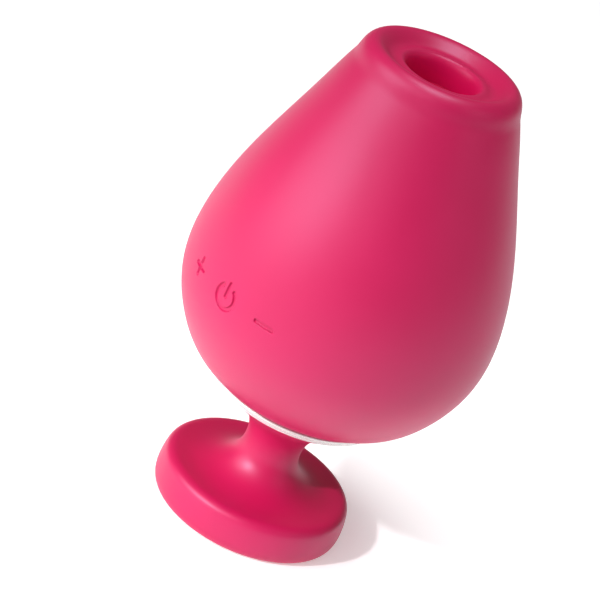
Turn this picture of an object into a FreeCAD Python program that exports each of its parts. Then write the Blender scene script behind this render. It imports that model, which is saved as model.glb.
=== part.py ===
import FreeCAD, Part
import Sketcher
import math
import os

# Stemmed air-pulse massager, shaped like a small wine glass.
# Origin: centre of the foot's underside.  +Z runs up the axis to the mouth.
# The three soft buttons face -Y.  All sizes are millimetres.

V = FreeCAD.Vector
doc = FreeCAD.newDocument("air_pulse_massager")

# ---------------------------------------------------------------- sizes
SIZES = [
    # foot and stem
    ("rest_in_r", 16.3),
    ("core_low_z", 1.12), ("cap_seat_r", 16.15), ("cap_seat_z", 1.9),
    ("foot_cavity_r", 14.8), ("foot_cavity_z", 5.6), ("stem_bore_r", 2.2),
    ("stem_top_z", 28.0), ("boss_r", 10.0), ("boss_top_z", 29.4),
    ("cap_r", 16.1), ("cap_low_z", 0.3), ("cap_wall", 1.6),
    ("ballast_out_r", 14.6), ("ballast_in_r", 6.0), ("ballast_low_z", 3.4), ("ballast_wall", 2.2),
    ("contact_x", 4.0), ("contact_r", 1.2), ("contact_low_z", 0.25), ("contact_len", 2.75),
    ("magnet_x", 8.5), ("magnet_r", 2.5), ("magnet_len", 1.5),
    ("lead_r", 0.45), ("lead_x", 0.9), ("lead_top_z", 33.4),
    # trim ring and gasket
    ("trim_in_r", 10.05), ("trim_low_r", 17.65), ("trim_top_r", 18.4),
    ("trim_bevel", 0.25), ("trim_top_z", 29.4), ("trim_rim_z", 29.68), ("trim_rim_r", 15.2),
    ("gasket_in_r", 3.6), ("gasket_out_r", 14.4), ("gasket_wall", 0.4),
    # bowl shells
    ("shell_hole_r", 3.5), ("split_z", 88.0), ("shell_roof_z", 98.0), ("shell_top_z", 100.0), ("shell_mouth_r", 9.05),
    ("ledge_low_z", 45.9), ("ledge_top_z", 47.5), ("ledge_in_r", 24.6),
    ("low_boss_x", 21.4), ("low_boss_z", 41.8), ("low_boss_r", 2.8),
    ("top_boss_x", 17.4), ("top_boss_z", 81.0), ("top_boss_r", 2.5),
    ("boss_gap_y", 6.0),
    ("clear_r", 1.1), ("pilot_r", 0.85), ("head_r", 1.9), ("head_len", 1.6),
    ("neck_screw_pcd", 14.0), ("neck_screw_len", 6.4),
    # buttons
    ("key_z", 53.4), ("key_x", 9.92), ("pad_hole_r", 4.36), ("pad_r", 4.3),
    ("key_hole_r", 4.55), ("key_r", 4.1), ("key_in_y", 24.4),
    ("stem_r", 1.1), ("stem_len", 0.5), ("switch_len", 1.8), ("switch_side", 4.5),
    ("icon_floor_r", 31.38), ("icon_stroke", 0.6), ("bar_len", 4.0), ("power_r", 2.4),
    # boards, battery, chassis
    ("board_wall", 1.0), ("board_wide", 28.0), ("board_tall", 10.0),
    ("plate_r", 26.8), ("plate_low_z", 47.5), ("plate_wall", 2.0),
    ("back_wall", 1.5), ("post_r", 2.2), ("post_ring_r", 15.2), ("post_top_z", 62.0),
    ("standoff_r", 1.5), ("standoff_ring_r", 9.0), ("main_low_z", 54.0), ("main_wall", 1.2), ("main_r", 12.0),
    ("cell_x", 32.0), ("cell_y", 22.0), ("cell_z", 9.0), ("cell_low_z", 38.5),
    # drive
    ("base_r", 17.4), ("base_wall", 1.6), ("housing_r", 13.0), ("housing_in_r", 11.5), ("housing_step_r", 10.3),
    ("housing_floor_z", 64.4), ("housing_top_z", 86.8),
    ("bush_r", 2.6), ("bush_top_z", 65.0), ("rod_r", 1.5), ("rod_clear", 0.04),
    ("bobbin_in_r", 7.6), ("bobbin_core_r", 8.3), ("bobbin_low_z", 67.0), ("bobbin_top_z", 81.0), ("flange_wall", 1.0),
    ("winding_r", 11.1),
    ("magnet_body_r", 6.6), ("magnet_body_low_z", 70.0), ("magnet_body_len", 8.0), ("pole_wall", 1.2),
    ("end_plate_low_z", 83.2), ("end_plate_wall", 1.4), ("end_plate_hole_r", 1.56),
    ("spring_r", 4.6), ("spring_fold", 1.0), ("spring_wall", 0.7),
    ("rod_low_z", 61.0), ("rod_top_z", 86.2), ("disc_r", 3.6), ("disc_wall", 0.8),
    ("rim_r", 12.9), ("rim_in_r", 10.4), ("rim_top_z", 88.0), ("film", 0.6), ("collar_in_r", 10.0),
    # nozzle cup and clamp ring
    ("cup_out_r", 9.0), ("cup_flange_wall", 1.6), ("cup_under_z", 89.0),
    ("cup_top_z", 97.0), ("cup_top_r", 7.06), ("cup_low_r", 4.6),
    ("clamp_out_r", 14.2), ("clamp_in_r", 13.02), ("clamp_low_z", 84.6), ("clamp_top_z", 90.4),
    ("screw_len", 14.0), ("drive_screw_len", 6.0),
]

# Bowl, outside: from the trim ring up to the shoulder of the lip.
OUTER = [(18.23, 29.8), (20.01, 30.77), (24.02, 33.24), (28.43, 39.24), (32.2, 48.13),
         (31.57, 60.58), (27.18, 74.69), (21.52, 87.63), (18.51, 95.75), (17.14, 98.8)]
OUTER_KNOTS = [0.0, 0.0791, 0.1713, 0.2899, 0.448, 0.6589, 0.8697, 1.0]
# Lip: over the crest, down the dish and into the mouth.
LIP = [(17.14, 98.8), (16.73, 99.72), (16.46, 101.1), (15.88, 102.7), (14.65, 103.82), (13.35, 103.98),
       (11.95, 103.05), (10.75, 101.95), (9.5, 101.85), (8.3, 102.4), (7.45, 101.6), (7.2, 100.3), (7.1, 98.8),
       (7.07, 97.8), (7.06, 97.0)]
# Outside of the hard shells, which is the inside of the soft skin.
SHELL = [(14.84, 29.8), (16.45, 30.75), (21.12, 32.92), (25.86, 38.17), (30.34, 47.12),
         (30.11, 59.47), (25.75, 73.71), (19.83, 87.29), (16.51, 96.25), (14.77, 100.0)]
SHELL_KNOTS = [0.0, 0.0766, 0.166, 0.2809, 0.4342, 0.6385, 0.8428, 1.0]
# Inside of the hard shells.
INNER = [(14.64, 32.0), (16.43, 33.0), (20.63, 35.07), (25.26, 41.1), (28.66, 50.03),
         (27.17, 62.56), (23.04, 74.53), (17.84, 86.69), (15.17, 93.95), (13.36, 98.0)]
INNER_KNOTS = [0.0, 0.082, 0.1777, 0.3007, 0.4648, 0.6835, 0.8202, 1.0]
# Foot and trumpet stem, outside.
FOOT = [(18.23, 0.0), (19.08, 0.0), (19.88, 0.75), (20.14, 2.42), (20.09, 4.29), (19.88, 5.97), (19.56, 7.46),
        (18.34, 8.25), (16.54, 8.16), (13.99, 8.16), (11.24, 8.73), (8.8, 9.95), (6.78, 11.97), (5.88, 14.6),
        (5.94, 17.2), (6.47, 19.4), (7.84, 21.6), (10.07, 23.4), (12.61, 24.9), (15.05, 26.5), (17.17, 28.0)]
# Hard core of the foot and stem, outside.
CORE = [(18.23, 1.12), (18.66, 1.05), (18.91, 3.03), (18.79, 3.97), (18.56, 6.8), (17.69, 7.13), (15.03, 6.98),
        (12.47, 7.22), (9.39, 8.01), (6.35, 10.19), (4.69, 13.5), (4.59, 16.96), (5.25, 19.88), (6.95, 22.51),
        (10.35, 25.12), (13.25, 26.69), (15.04, 28.0)]
CORE_KNOTS = [0.0, 0.0371, 0.099, 0.1485, 0.1782, 0.2228, 0.297, 0.3713, 0.4456, 0.5446, 0.6188, 0.6931,
              0.7673, 0.8416, 1.0]

CURVES = [("outer", OUTER), ("lip", LIP), ("shell", SHELL), ("inner", INNER), ("foot", FOOT), ("core", CORE)]

sheet = doc.addObject("Spreadsheet::Sheet", "Params")
row = 1
for word, number in SIZES:
    sheet.set("A%d" % row, word)
    sheet.set("B%d" % row, str(number))
    sheet.setAlias("B%d" % row, word)
    row += 1
for curve, poles in CURVES:
    for i, (r, z) in enumerate(poles):
        for tail, number in (("rad", r), ("hgt", z)):
            word = "%s_%s_%d" % (curve, tail, i)
            sheet.set("A%d" % row, word)
            sheet.set("B%d" % row, str(number))
            sheet.setAlias("B%d" % row, word)
            row += 1
doc.recompute()


class Size:
    """A number together with the expression over the sheet that gives it."""

    def __init__(self, value, text):
        self.value = float(value)
        self.text = text

    def __add__(self, other):
        other = size(other)
        return Size(self.value + other.value, "(%s + %s)" % (self.text, other.text))

    def __radd__(self, other):
        return size(other) + self

    def __sub__(self, other):
        other = size(other)
        return Size(self.value - other.value, "(%s - %s)" % (self.text, other.text))

    def __rsub__(self, other):
        return size(other) - self

    def __mul__(self, other):
        other = size(other)
        return Size(self.value * other.value, "(%s * %s)" % (self.text, other.text))

    __rmul__ = __mul__

    def __truediv__(self, other):
        other = size(other)
        return Size(self.value / other.value, "(%s / %s)" % (self.text, other.text))

    def __neg__(self):
        return Size(-self.value, "(0 - %s)" % self.text)


def size(x):
    return x if isinstance(x, Size) else Size(x, "%.9g" % x if x >= 0 else "(0 - %.9g)" % -x)


P = {word: Size(number, "Params." + word) for word, number in SIZES}
for curve, poles in CURVES:
    for i, (r, z) in enumerate(poles):
        P["%s_rad_%d" % (curve, i)] = Size(r, "Params.%s_rad_%d" % (curve, i))
        P["%s_hgt_%d" % (curve, i)] = Size(z, "Params.%s_hgt_%d" % (curve, i))


def poles_of(curve, backwards=False):
    n = len(dict(CURVES)[curve])
    got = [(P["%s_rad_%d" % (curve, i)], P["%s_hgt_%d" % (curve, i)]) for i in range(n)]
    return got[::-1] if backwards else got


# ---------------------------------------------------------------- sketches
def pin(sk, geo, pos, point):
    """Holds a sketch point at (x, y) from the sheet."""
    for axis, kind, q in ((-2, "DistanceX", point[0]), (-1, "DistanceY", point[1])):
        q = size(q)
        if q.value == 0.0:
            sk.addConstraint(Sketcher.Constraint("PointOnObject", geo, pos, axis))
        else:
            c = sk.addConstraint(Sketcher.Constraint(kind, -1, 1, geo, pos, q.value))
            sk.setExpression("Constraints[%d]" % c, q.text)


def vec(point):
    return V(size(point[0]).value, size(point[1]).value, 0)


def draw(sk, start, path):
    """Draws one closed outline. Steps are ("to", point) for a straight edge
    and ("curve", poles, knots) for a cubic spline that starts where the last step ended."""
    first = last = None
    here = start
    total = len(path)
    for n, step in enumerate(path):
        closing = n == total - 1
        if step[0] == "to":
            geo = sk.addGeometry(Part.LineSegment(vec(here), vec(step[1])), False)
            if last is None:
                pin(sk, geo, 1, here)
            else:
                sk.addConstraint(Sketcher.Constraint("Coincident", last[0], last[1], geo, 1))
            if closing:
                sk.addConstraint(Sketcher.Constraint("Coincident", geo, 2, first[0], first[1]))
            else:
                pin(sk, geo, 2, step[1])
            here = step[1]
        else:
            poles, knots = step[1], step[2]
            curve = Part.BSplineCurve()
            if knots:
                mults = [4] + [1] * (len(knots) - 2) + [4]
                curve.buildFromPolesMultsKnots([vec(p) for p in poles], mults, knots, False, 3)
            else:
                curve.buildFromPoles([vec(p) for p in poles], False, 3)
            geo = sk.addGeometry(curve, False)
            sk.exposeInternalGeometry(geo)
            for i, p in enumerate(poles):
                at_start = i == 0 and last is not None
                at_end = i == len(poles) - 1 and closing
                if not at_start and not at_end:
                    pin(sk, geo + 1 + i, 3, p)
            if last is not None:
                sk.addConstraint(Sketcher.Constraint("Coincident", last[0], last[1], geo, 1))
            if closing:
                sk.addConstraint(Sketcher.Constraint("Coincident", geo, 2, first[0], first[1]))
            here = poles[-1]
        if first is None:
            first = (geo, 1)
        last = (geo, 2)


def circle(sk, point, radius):
    geo = sk.addGeometry(Part.Circle(vec(point), V(0, 0, 1), size(radius).value), False)
    pin(sk, geo, 3, point)
    c = sk.addConstraint(Sketcher.Constraint("Radius", geo, size(radius).value))
    sk.setExpression("Constraints[%d]" % c, size(radius).text)


# ---------------------------------------------------------------- bodies
def plane_of(body, role):
    return [o for o in body.Origin.OriginFeatures if o.Role == role][0]


def sketch_in(body, name, role):
    sk = body.newObject("Sketcher::SketchObject", name)
    sk.AttachmentSupport = [(plane_of(body, role), "")]
    sk.MapMode = "FlatFace"
    return sk


def turned(name, start, path, angle=360.0, flip=False):
    """A body turned about Z from an outline in the XZ plane, where x is the radius."""
    body = doc.addObject("PartDesign::Body", name)
    body.Label = name
    sk = sketch_in(body, name + "_section", "XZ_Plane")
    draw(sk, start, path)
    rev = body.newObject("PartDesign::Revolution", name + "_turn")
    rev.Profile = sk
    rev.ReferenceAxis = (sk, ["V_Axis"])
    rev.Angle = angle
    rev.Reversed = flip
    sk.Visibility = False
    return body


def box_path(r_in, r_out, z_low, z_top):
    return (r_in, z_low), [("to", (r_out, z_low)), ("to", (r_out, z_top)), ("to", (r_in, z_top)), ("to", (r_in, z_low))]


def pocket(body, name, role, circles, depth, through=False, flip=False):
    """Cuts round holes in a body. The volume must go down."""
    doc.recompute()
    before = body.Shape.Volume
    sk = sketch_in(body, name + "_sketch", role)
    for point, radius in circles:
        circle(sk, point, radius)
    cut = body.newObject("PartDesign::Pocket", name)
    cut.Profile = sk
    cut.Reversed = flip
    if through:
        cut.Type = "ThroughAll"
        cut.Midplane = True
    else:
        cut.setExpression("Length", size(depth).text)
    sk.Visibility = False
    doc.recompute()
    after = body.Shape.Volume
    if not after < before - 1e-6:
        raise RuntimeError("%s cuts nothing" % name)
    return cut


# ---------------------------------------------------------------- primitives
TURN_TO = {"Z": FreeCAD.Rotation(), "Y": FreeCAD.Rotation(V(1, 0, 0), -90), "X": FreeCAD.Rotation(V(0, 1, 0), 90)}


def place(obj, x, y, z, rotation=None):
    pos = [size(v) for v in (x, y, z)]
    obj.Placement = FreeCAD.Placement(V(*[p.value for p in pos]), rotation or FreeCAD.Rotation())
    for axis, p in zip("xyz", pos):
        if "Params" in p.text:
            obj.setExpression(".Placement.Base." + axis, p.text)
    return obj


def rod(name, r, length, x, y, z, along="Z"):
    """A round bar that starts at (x, y, z) and runs along +Z, +Y or +X."""
    o = doc.addObject("Part::Cylinder", name)
    o.Radius, o.Height = size(r).value, size(length).value
    if "Params" in size(r).text:
        o.setExpression("Radius", size(r).text)
    if "Params" in size(length).text:
        o.setExpression("Height", size(length).text)
    return place(o, x, y, z, TURN_TO[along])


def block(name, dx, dy, dz, x, y, z):
    o = doc.addObject("Part::Box", name)
    for prop, q in (("Length", dx), ("Width", dy), ("Height", dz)):
        q = size(q)
        setattr(o, prop, q.value)
        if "Params" in q.text:
            o.setExpression(prop, q.text)
    return place(o, x, y, z)


def joined(name, *things):
    o = doc.addObject("Part::MultiFuse", name)
    o.Shapes = list(things)
    o.Label = name
    return o


def less(name, base, *tools):
    for i, t in enumerate(tools):
        last = i == len(tools) - 1
        o = doc.addObject("Part::Cut", name if last else "%s_cut_%d" % (name, i))
        o.Base, o.Tool = base, t
        base = o
    base.Label = name
    return base


def shared(name, a, b):
    o = doc.addObject("Part::Common", name)
    o.Base, o.Tool = a, b
    o.Label = name
    return o


def group(name, *things):
    """Identical pieces that share one node."""
    o = doc.addObject("Part::Compound", name)
    o.Links = list(things)
    o.Label = name
    return o


NODES = {}


def node(name, obj):
    obj.Label = name
    NODES[name] = obj
    return obj


# ================================================================ FOOT AND STEM
# Soft sleeve over the foot and the trumpet stem; its lip turns in under the foot.
node("foot_skin", turned("foot_skin", (P["rest_in_r"], 0), [
    ("to", (P["foot_rad_0"], 0)),
    ("curve", poles_of("foot"), None),
    ("to", (P["core_rad_16"], P["stem_top_z"])),
    ("curve", poles_of("core", True), [round(1 - k, 6) for k in CORE_KNOTS[::-1]]),
    ("to", (P["rest_in_r"], P["core_low_z"])),
    ("to", (P["rest_in_r"], 0)),
]))

# Hard core: foot, stem with its cable bore, and the boss that the bowl screws to.
core = node("foot_core", turned("foot_core", (P["cap_seat_r"], P["core_low_z"]), [
    ("to", (P["core_rad_0"], P["core_hgt_0"])),
    ("curve", poles_of("core"), CORE_KNOTS),
    ("to", (P["boss_r"], P["stem_top_z"])),
    ("to", (P["boss_r"], P["boss_top_z"])),
    ("to", (P["stem_bore_r"], P["boss_top_z"])),
    ("to", (P["stem_bore_r"], P["foot_cavity_z"])),
    ("to", (P["foot_cavity_r"], P["foot_cavity_z"])),
    ("to", (P["foot_cavity_r"], P["cap_seat_z"])),
    ("to", (P["cap_seat_r"], P["cap_seat_z"])),
    ("to", (P["cap_seat_r"], P["core_low_z"])),
]))
doc.recompute()
NECK_ANGLES = (90.0, 210.0, 330.0)


def on_circle(radius, degrees):
    c, s = math.cos(math.radians(degrees)), math.sin(math.radians(degrees))
    return (size(radius) * round(c, 9), size(radius) * round(s, 9))


before = core.Shape.Volume
pilots = core.newObject("Sketcher::SketchObject", "neck_pilots_sketch")
pilots.AttachmentSupport = [(plane_of(core, "XY_Plane"), "")]
pilots.MapMode = "FlatFace"
pilots.AttachmentOffset = FreeCAD.Placement(V(0, 0, P["boss_top_z"].value), FreeCAD.Rotation())
pilots.setExpression(".AttachmentOffset.Base.z", P["boss_top_z"].text)
for a in NECK_ANGLES:
    circle(pilots, on_circle(P["neck_screw_pcd"] / 2, a), P["pilot_r"])
neck_pilots = core.newObject("PartDesign::Pocket", "neck_pilots")
neck_pilots.Profile = pilots
neck_pilots.Length = 4.6
neck_pilots.setExpression("Length", (P["neck_screw_len"] - P["gasket_wall"] - P["inner_hgt_0"] + P["shell_hgt_0"] + 0.6).text)
pilots.Visibility = False
doc.recompute()
if not core.Shape.Volume < before - 1:
    raise RuntimeError("neck_pilots cuts nothing")

# Closing plate under the foot, with two contact holes.
cap = node("base_cap", turned("base_cap", *box_path(0, P["cap_r"], P["cap_low_z"], P["cap_low_z"] + P["cap_wall"])))
pocket(cap, "contact_holes", "XY_Plane",
       [((P["contact_x"], 0), P["contact_r"]), ((-P["contact_x"], 0), P["contact_r"])], 0, through=True)

pins = []
for side in (-1, 1):
    tag = "left" if side < 0 else "right"
    pins.append(rod("contact_pin_" + tag, P["contact_r"], P["contact_len"], P["contact_x"] * side, 0, P["contact_low_z"]))
node("charge_contacts", group("charge_contacts", *pins))

slugs = []
for side in (-1, 1):
    tag = "left" if side < 0 else "right"
    slugs.append(rod("magnet_slug_" + tag, P["magnet_r"], P["magnet_len"], P["magnet_x"] * side, 0, P["cap_low_z"] + P["cap_wall"]))
node("charge_magnets", group("charge_magnets", *slugs))

node("foot_ballast", turned("foot_ballast", *box_path(P["ballast_in_r"], P["ballast_out_r"], P["ballast_low_z"], P["ballast_low_z"] + P["ballast_wall"])))


def lead(side):
    """One insulated wire from a contact up through the stem, in straight runs and tangent arcs."""
    r = P["lead_r"].value
    x0, x1 = side * P["contact_x"].value, side * P["lead_x"].value
    z0, z3 = P["contact_low_z"].value + P["contact_len"].value, P["lead_top_z"].value
    pts = [V(x0, 0, z0), V(x0, 0, z0 + 1.0), V(x1, 0, z0 + 2.6), V(x1, 0, z3)]
    edges, here = [], pts[0]
    for i in (1, 2):
        a = pts[i].sub(pts[i - 1])
        b = pts[i + 1].sub(pts[i])
        turn = a.getAngle(b)
        run = min(a.Length, b.Length)
        cut = 0.45 * run
        rad = cut / math.tan(turn / 2)
        a.normalize()
        b.normalize()
        p, q = pts[i] - a * cut, pts[i] + b * cut
        mid_dir = (b - a)
        mid_dir.normalize()
        centre = pts[i] + mid_dir * (rad / math.cos(turn / 2))
        mid = centre - mid_dir * rad
        edges += [Part.LineSegment(here, p).toShape(), Part.Arc(p, mid, q).toShape()]
        here = q
    edges.append(Part.LineSegment(here, pts[3]).toShape())
    path = Part.Wire(edges)
    ring = Part.Wire([Part.Circle(pts[0], V(0, 0, 1), r).toShape()])
    tube = path.makePipeShell([ring], True, False)
    length = path.Length
    if abs(tube.Volume - math.pi * r * r * length) > 0.03 * tube.Volume:
        raise RuntimeError("lead volume is off")
    return tube


leads = doc.addObject("Part::Feature", "charge_leads")
leads.Shape = Part.makeCompound([lead(-1), lead(1)])
leads.Placement = FreeCAD.Placement()
node("charge_leads", leads)

plug_block = block("charge_plug_block", 5.0, 3.0, 2.6, -2.5, -1.5, P["lead_top_z"])
plug_key = block("charge_plug_key", 3.4, 1.0, 1.6, -1.7, 1.5, P["lead_top_z"] + 0.5)
node("charge_plug", joined("charge_plug", plug_block, plug_key))

# ================================================================ TRIM RING AND GASKET
node("trim_ring", turned("trim_ring", (P["trim_in_r"], P["stem_top_z"]), [
    ("to", (P["trim_low_r"] - P["trim_bevel"], P["stem_top_z"])),
    ("to", (P["trim_low_r"], P["stem_top_z"] + P["trim_bevel"])),
    ("to", (P["trim_top_r"], P["trim_rim_z"] - P["trim_bevel"])),
    ("to", (P["trim_top_r"] - P["trim_bevel"], P["trim_rim_z"])),
    ("to", (P["trim_rim_r"], P["trim_rim_z"])),
    ("to", (P["trim_rim_r"], P["trim_top_z"])),
    ("to", (P["trim_in_r"], P["trim_top_z"])),
    ("to", (P["trim_in_r"], P["stem_top_z"])),
]))

gasket = node("neck_gasket", turned("neck_gasket", *box_path(P["gasket_in_r"], P["gasket_out_r"], P["trim_top_z"], P["trim_top_z"] + P["gasket_wall"])))
pocket(gasket, "gasket_holes", "XY_Plane",
       [(on_circle(P["neck_screw_pcd"] / 2, a), P["clear_r"]) for a in NECK_ANGLES], 0, through=True)

# ================================================================ BOWL: SKIN AND SHELLS
SHELL_BACK = [round(1 - k, 6) for k in SHELL_KNOTS[::-1]]
skin_blank = turned("skin_blank", (P["outer_rad_0"], P["outer_hgt_0"]), [
    ("curve", poles_of("outer"), OUTER_KNOTS),
    ("curve", poles_of("lip"), None),
    ("to", (P["cup_out_r"], P["cup_top_z"])),
    ("to", (P["cup_out_r"], P["shell_top_z"])),
    ("to", (P["shell_rad_9"], P["shell_hgt_9"])),
    ("curve", poles_of("shell", True), SHELL_BACK),
    ("to", (P["outer_rad_0"], P["outer_hgt_0"])),
])

# The mouth: a soft cap with a thick lip that closes the top of the sleeve.
node("mouth_lip", shared("mouth_lip", skin_blank, rod("above_split", 40.0, 30.0, 0, 0, P["split_z"])))

KEYS = (("plus", -P["key_x"]), ("power", size(0)), ("minus", P["key_x"]))


def front_rod(name, r, x, y_in):
    """A round bar through the front wall, from y = -y_in out past the skin."""
    return rod(name, r, size(40) - y_in, x, size(-40), P["key_z"], "Y")


node("bowl_skin", less("bowl_skin", skin_blank, rod("off_the_top", 40.0, 30.0, 0, 0, P["split_z"]), *[front_rod("pad_hole_" + k, P["pad_hole_r"], x, size(10)) for k, x in KEYS]))

solid_shell = turned("shell_solid", (0, P["shell_hgt_0"]), [
    ("to", (P["shell_rad_0"], P["shell_hgt_0"])),
    ("curve", poles_of("shell"), SHELL_KNOTS),
    ("to", (0, P["shell_hgt_9"])),
    ("to", (0, P["shell_hgt_0"])),
])
INNER_BACK = [round(1 - k, 6) for k in INNER_KNOTS[::-1]]


def half_wall(name, flip):
    """Half of the hard shell, open at the mouth and pierced at the floor for the leads."""
    return turned(name, (P["shell_hole_r"], P["shell_hgt_0"]), [
        ("to", (P["shell_rad_0"], P["shell_hgt_0"])),
        ("curve", poles_of("shell"), SHELL_KNOTS),
        ("to", (P["shell_mouth_r"], P["shell_hgt_9"])),
        ("to", (P["shell_mouth_r"], P["shell_roof_z"])),
        ("to", (P["inner_rad_9"], P["inner_hgt_9"])),
        ("curve", poles_of("inner", True), INNER_BACK),
        ("to", (P["shell_hole_r"], P["inner_hgt_0"])),
        ("to", (P["shell_hole_r"], P["shell_hgt_0"])),
    ], 180.0, flip)


def half_ledge(name, flip):
    """Half of the ring inside the wall that the chassis plate rests on."""
    return turned(name, *box_path(P["ledge_in_r"], P["ledge_in_r"] + 3.0, P["ledge_low_z"], P["ledge_top_z"]), 180.0, flip)


FRONT_FLIP = True        # the turn that fills the -Y half
BOSSES = []
for side in (-1, 1):
    tag = "left" if side < 0 else "right"
    BOSSES.append(("low_" + tag, P["low_boss_x"] * side, P["low_boss_z"], P["low_boss_r"]))
    BOSSES.append(("top_" + tag, P["top_boss_x"] * side, P["top_boss_z"], P["top_boss_r"]))

for which, flip in (("front", FRONT_FLIP), ("rear", not FRONT_FLIP)):
    wall = half_wall("shell_%s_wall" % which, flip)
    ledge = half_ledge("shell_%s_ledge" % which, flip)
    bars, tools = [], []
    for tag, x, z, r in BOSSES:
        name = "shell_%s_%s" % (which, tag)
        if which == "front":
            bar = rod(name + "_bar", r, 40.0, x, -40.0, z, "Y")
            tools.append(rod(name + "_pilot", P["pilot_r"], P["screw_len"] - P["boss_gap_y"] + 1.0, x,
                             -(P["screw_len"] - P["boss_gap_y"] + 1.0), z, "Y"))
        else:
            bar = rod(name + "_bar", r, 40.0, x, 0, z, "Y")
            tools.append(rod(name + "_clear", P["clear_r"], 40.0, x, 0, z, "Y"))
            tools.append(rod(name + "_sink", P["head_r"] + 0.1, 40.0, x, P["boss_gap_y"], z, "Y"))
        bars.append(bar)
    bosses = shared("shell_%s_bosses" % which, joined("shell_%s_bars" % which, *bars), solid_shell)
    body = joined("shell_%s_raw" % which, wall, ledge, bosses)
    if which == "front":
        tools += [front_rod("key_hole_" + k, P["key_hole_r"], x, size(10)) for k, x in KEYS]
        angles = NECK_ANGLES[1:]
    else:
        angles = NECK_ANGLES[:1]
    for a in angles:
        x, y = on_circle(P["neck_screw_pcd"] / 2, a)
        tools.append(rod("floor_hole_%d" % a, P["clear_r"], 6.0, x, y, P["shell_hgt_0"] - 1.5))
    node("shell_" + which, less("shell_" + which, body, joined("shell_%s_holes" % which, *tools)))
    doc.recompute()
    middle = NODES["shell_" + which].Shape.Solids[0].CenterOfMass
    if (middle.y if which == "front" else -middle.y) > 0:
        raise RuntimeError("shell_%s lies on the wrong side" % which)


def screw(name, shank_len, x, y, z, along="Z", flip=False):
    """A pan-head screw with its head's underside at (x, y, z)."""
    sign = -1 if not flip else 1
    if along == "Z":
        shank = rod(name + "_shank", P["pilot_r"], shank_len, x, y, size(z) - shank_len, "Z")
        head = rod(name + "_head", P["head_r"], P["head_len"], x, y, z, "Z")
        slot_a = block(name + "_slot_a", 2.2, 0.5, 0.8, size(x) - 1.1, size(y) - 0.25, size(z) + P["head_len"] - 0.8)
        slot_b = block(name + "_slot_b", 0.5, 2.2, 0.8, size(x) - 0.25, size(y) - 1.1, size(z) + P["head_len"] - 0.8)
    else:
        shank = rod(name + "_shank", P["pilot_r"], shank_len, x, size(y) - shank_len, z, "Y")
        head = rod(name + "_head", P["head_r"], P["head_len"], x, y, z, "Y")
        slot_a = block(name + "_slot_a", 2.2, 0.8, 0.5, size(x) - 1.1, size(y) + P["head_len"] - 0.8, size(z) - 0.25)
        slot_b = block(name + "_slot_b", 0.5, 0.8, 2.2, size(x) - 0.25, size(y) + P["head_len"] - 0.8, size(z) - 1.1)
    return less(name, joined(name + "_blank", shank, head), joined(name + "_cross", slot_a, slot_b))


node("shell_screws", group("shell_screws", *[
    screw("shell_screw_" + tag, P["screw_len"], x, P["boss_gap_y"], z, "Y") for tag, x, z, r in BOSSES]))
node("neck_screws", group("neck_screws", *[
    screw("neck_screw_%d" % a, P["neck_screw_len"], *on_circle(P["neck_screw_pcd"] / 2, a), P["inner_hgt_0"]) for a in NECK_ANGLES]))

# ================================================================ BUTTONS
floor_drum = rod("icon_floor", P["icon_floor_r"], 20.0, 0, 0, P["key_z"] - 10)


def bar(name, wide, tall, x, z):
    """An engraving bar through the front wall, centred at (x, z)."""
    return block(name, wide, 15.0, tall, size(x) - size(wide) / 2, -35.0, size(z) - size(tall) / 2)


def icon(kind, x):
    w, z = P["icon_stroke"], P["key_z"]
    if kind == "minus":
        mark = bar("icon_minus", P["bar_len"], w, x, z)
    elif kind == "plus":
        mark = joined("icon_plus", bar("icon_plus_across", P["bar_len"], w, x, z), bar("icon_plus_up", w, P["bar_len"], x, z))
    else:
        centre = z - 0.3
        ring_out = rod("icon_power_out", P["power_r"], 15.0, x, -35.0, centre, "Y")
        ring_in = rod("icon_power_in", P["power_r"] - w, 15.0, x, -35.0, centre, "Y")
        gap = bar("icon_power_gap", 2.2, 3.0, x, centre + 2.6)
        tick = bar("icon_power_tick", w, 2.9, x, centre + 1.55)
        mark = joined("icon_power", less("icon_power_ring", ring_out, ring_in, gap), tick)
    return less("icon_tool_" + kind, mark, floor_drum)


for kind, x in KEYS:
    pad = shared("pad_blank_" + kind, front_rod("pad_bar_" + kind, P["pad_r"], x, size(10)), skin_blank)
    node("pad_" + kind, less("pad_" + kind, pad, icon(kind, x)))
    node("key_" + kind, shared("key_" + kind, front_rod("key_bar_" + kind, P["key_r"], x, P["key_in_y"]), solid_shell))
    node("stem_" + kind, rod("stem_" + kind, P["stem_r"], P["stem_len"], x, -P["key_in_y"], P["key_z"], "Y"))

switches = []
face_y = P["key_in_y"] - P["stem_len"]
for kind, x in KEYS:
    side = P["switch_side"]
    can = block("switch_can_" + kind, side, P["switch_len"], side, x - side / 2, -face_y, P["key_z"] - side / 2)
    well = rod("switch_well_" + kind, P["stem_r"] + 0.06, 0.6, x, -face_y, P["key_z"], "Y")
    switches.append(less("switch_" + kind, can, well))
node("tact_switches", group("tact_switches", *switches))

board_y = face_y - P["switch_len"]
node("button_board", block("button_board", P["board_wide"], P["board_wall"], P["board_tall"],
                           -P["board_wide"] / 2, -board_y, P["plate_low_z"] + P["plate_wall"]))

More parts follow.
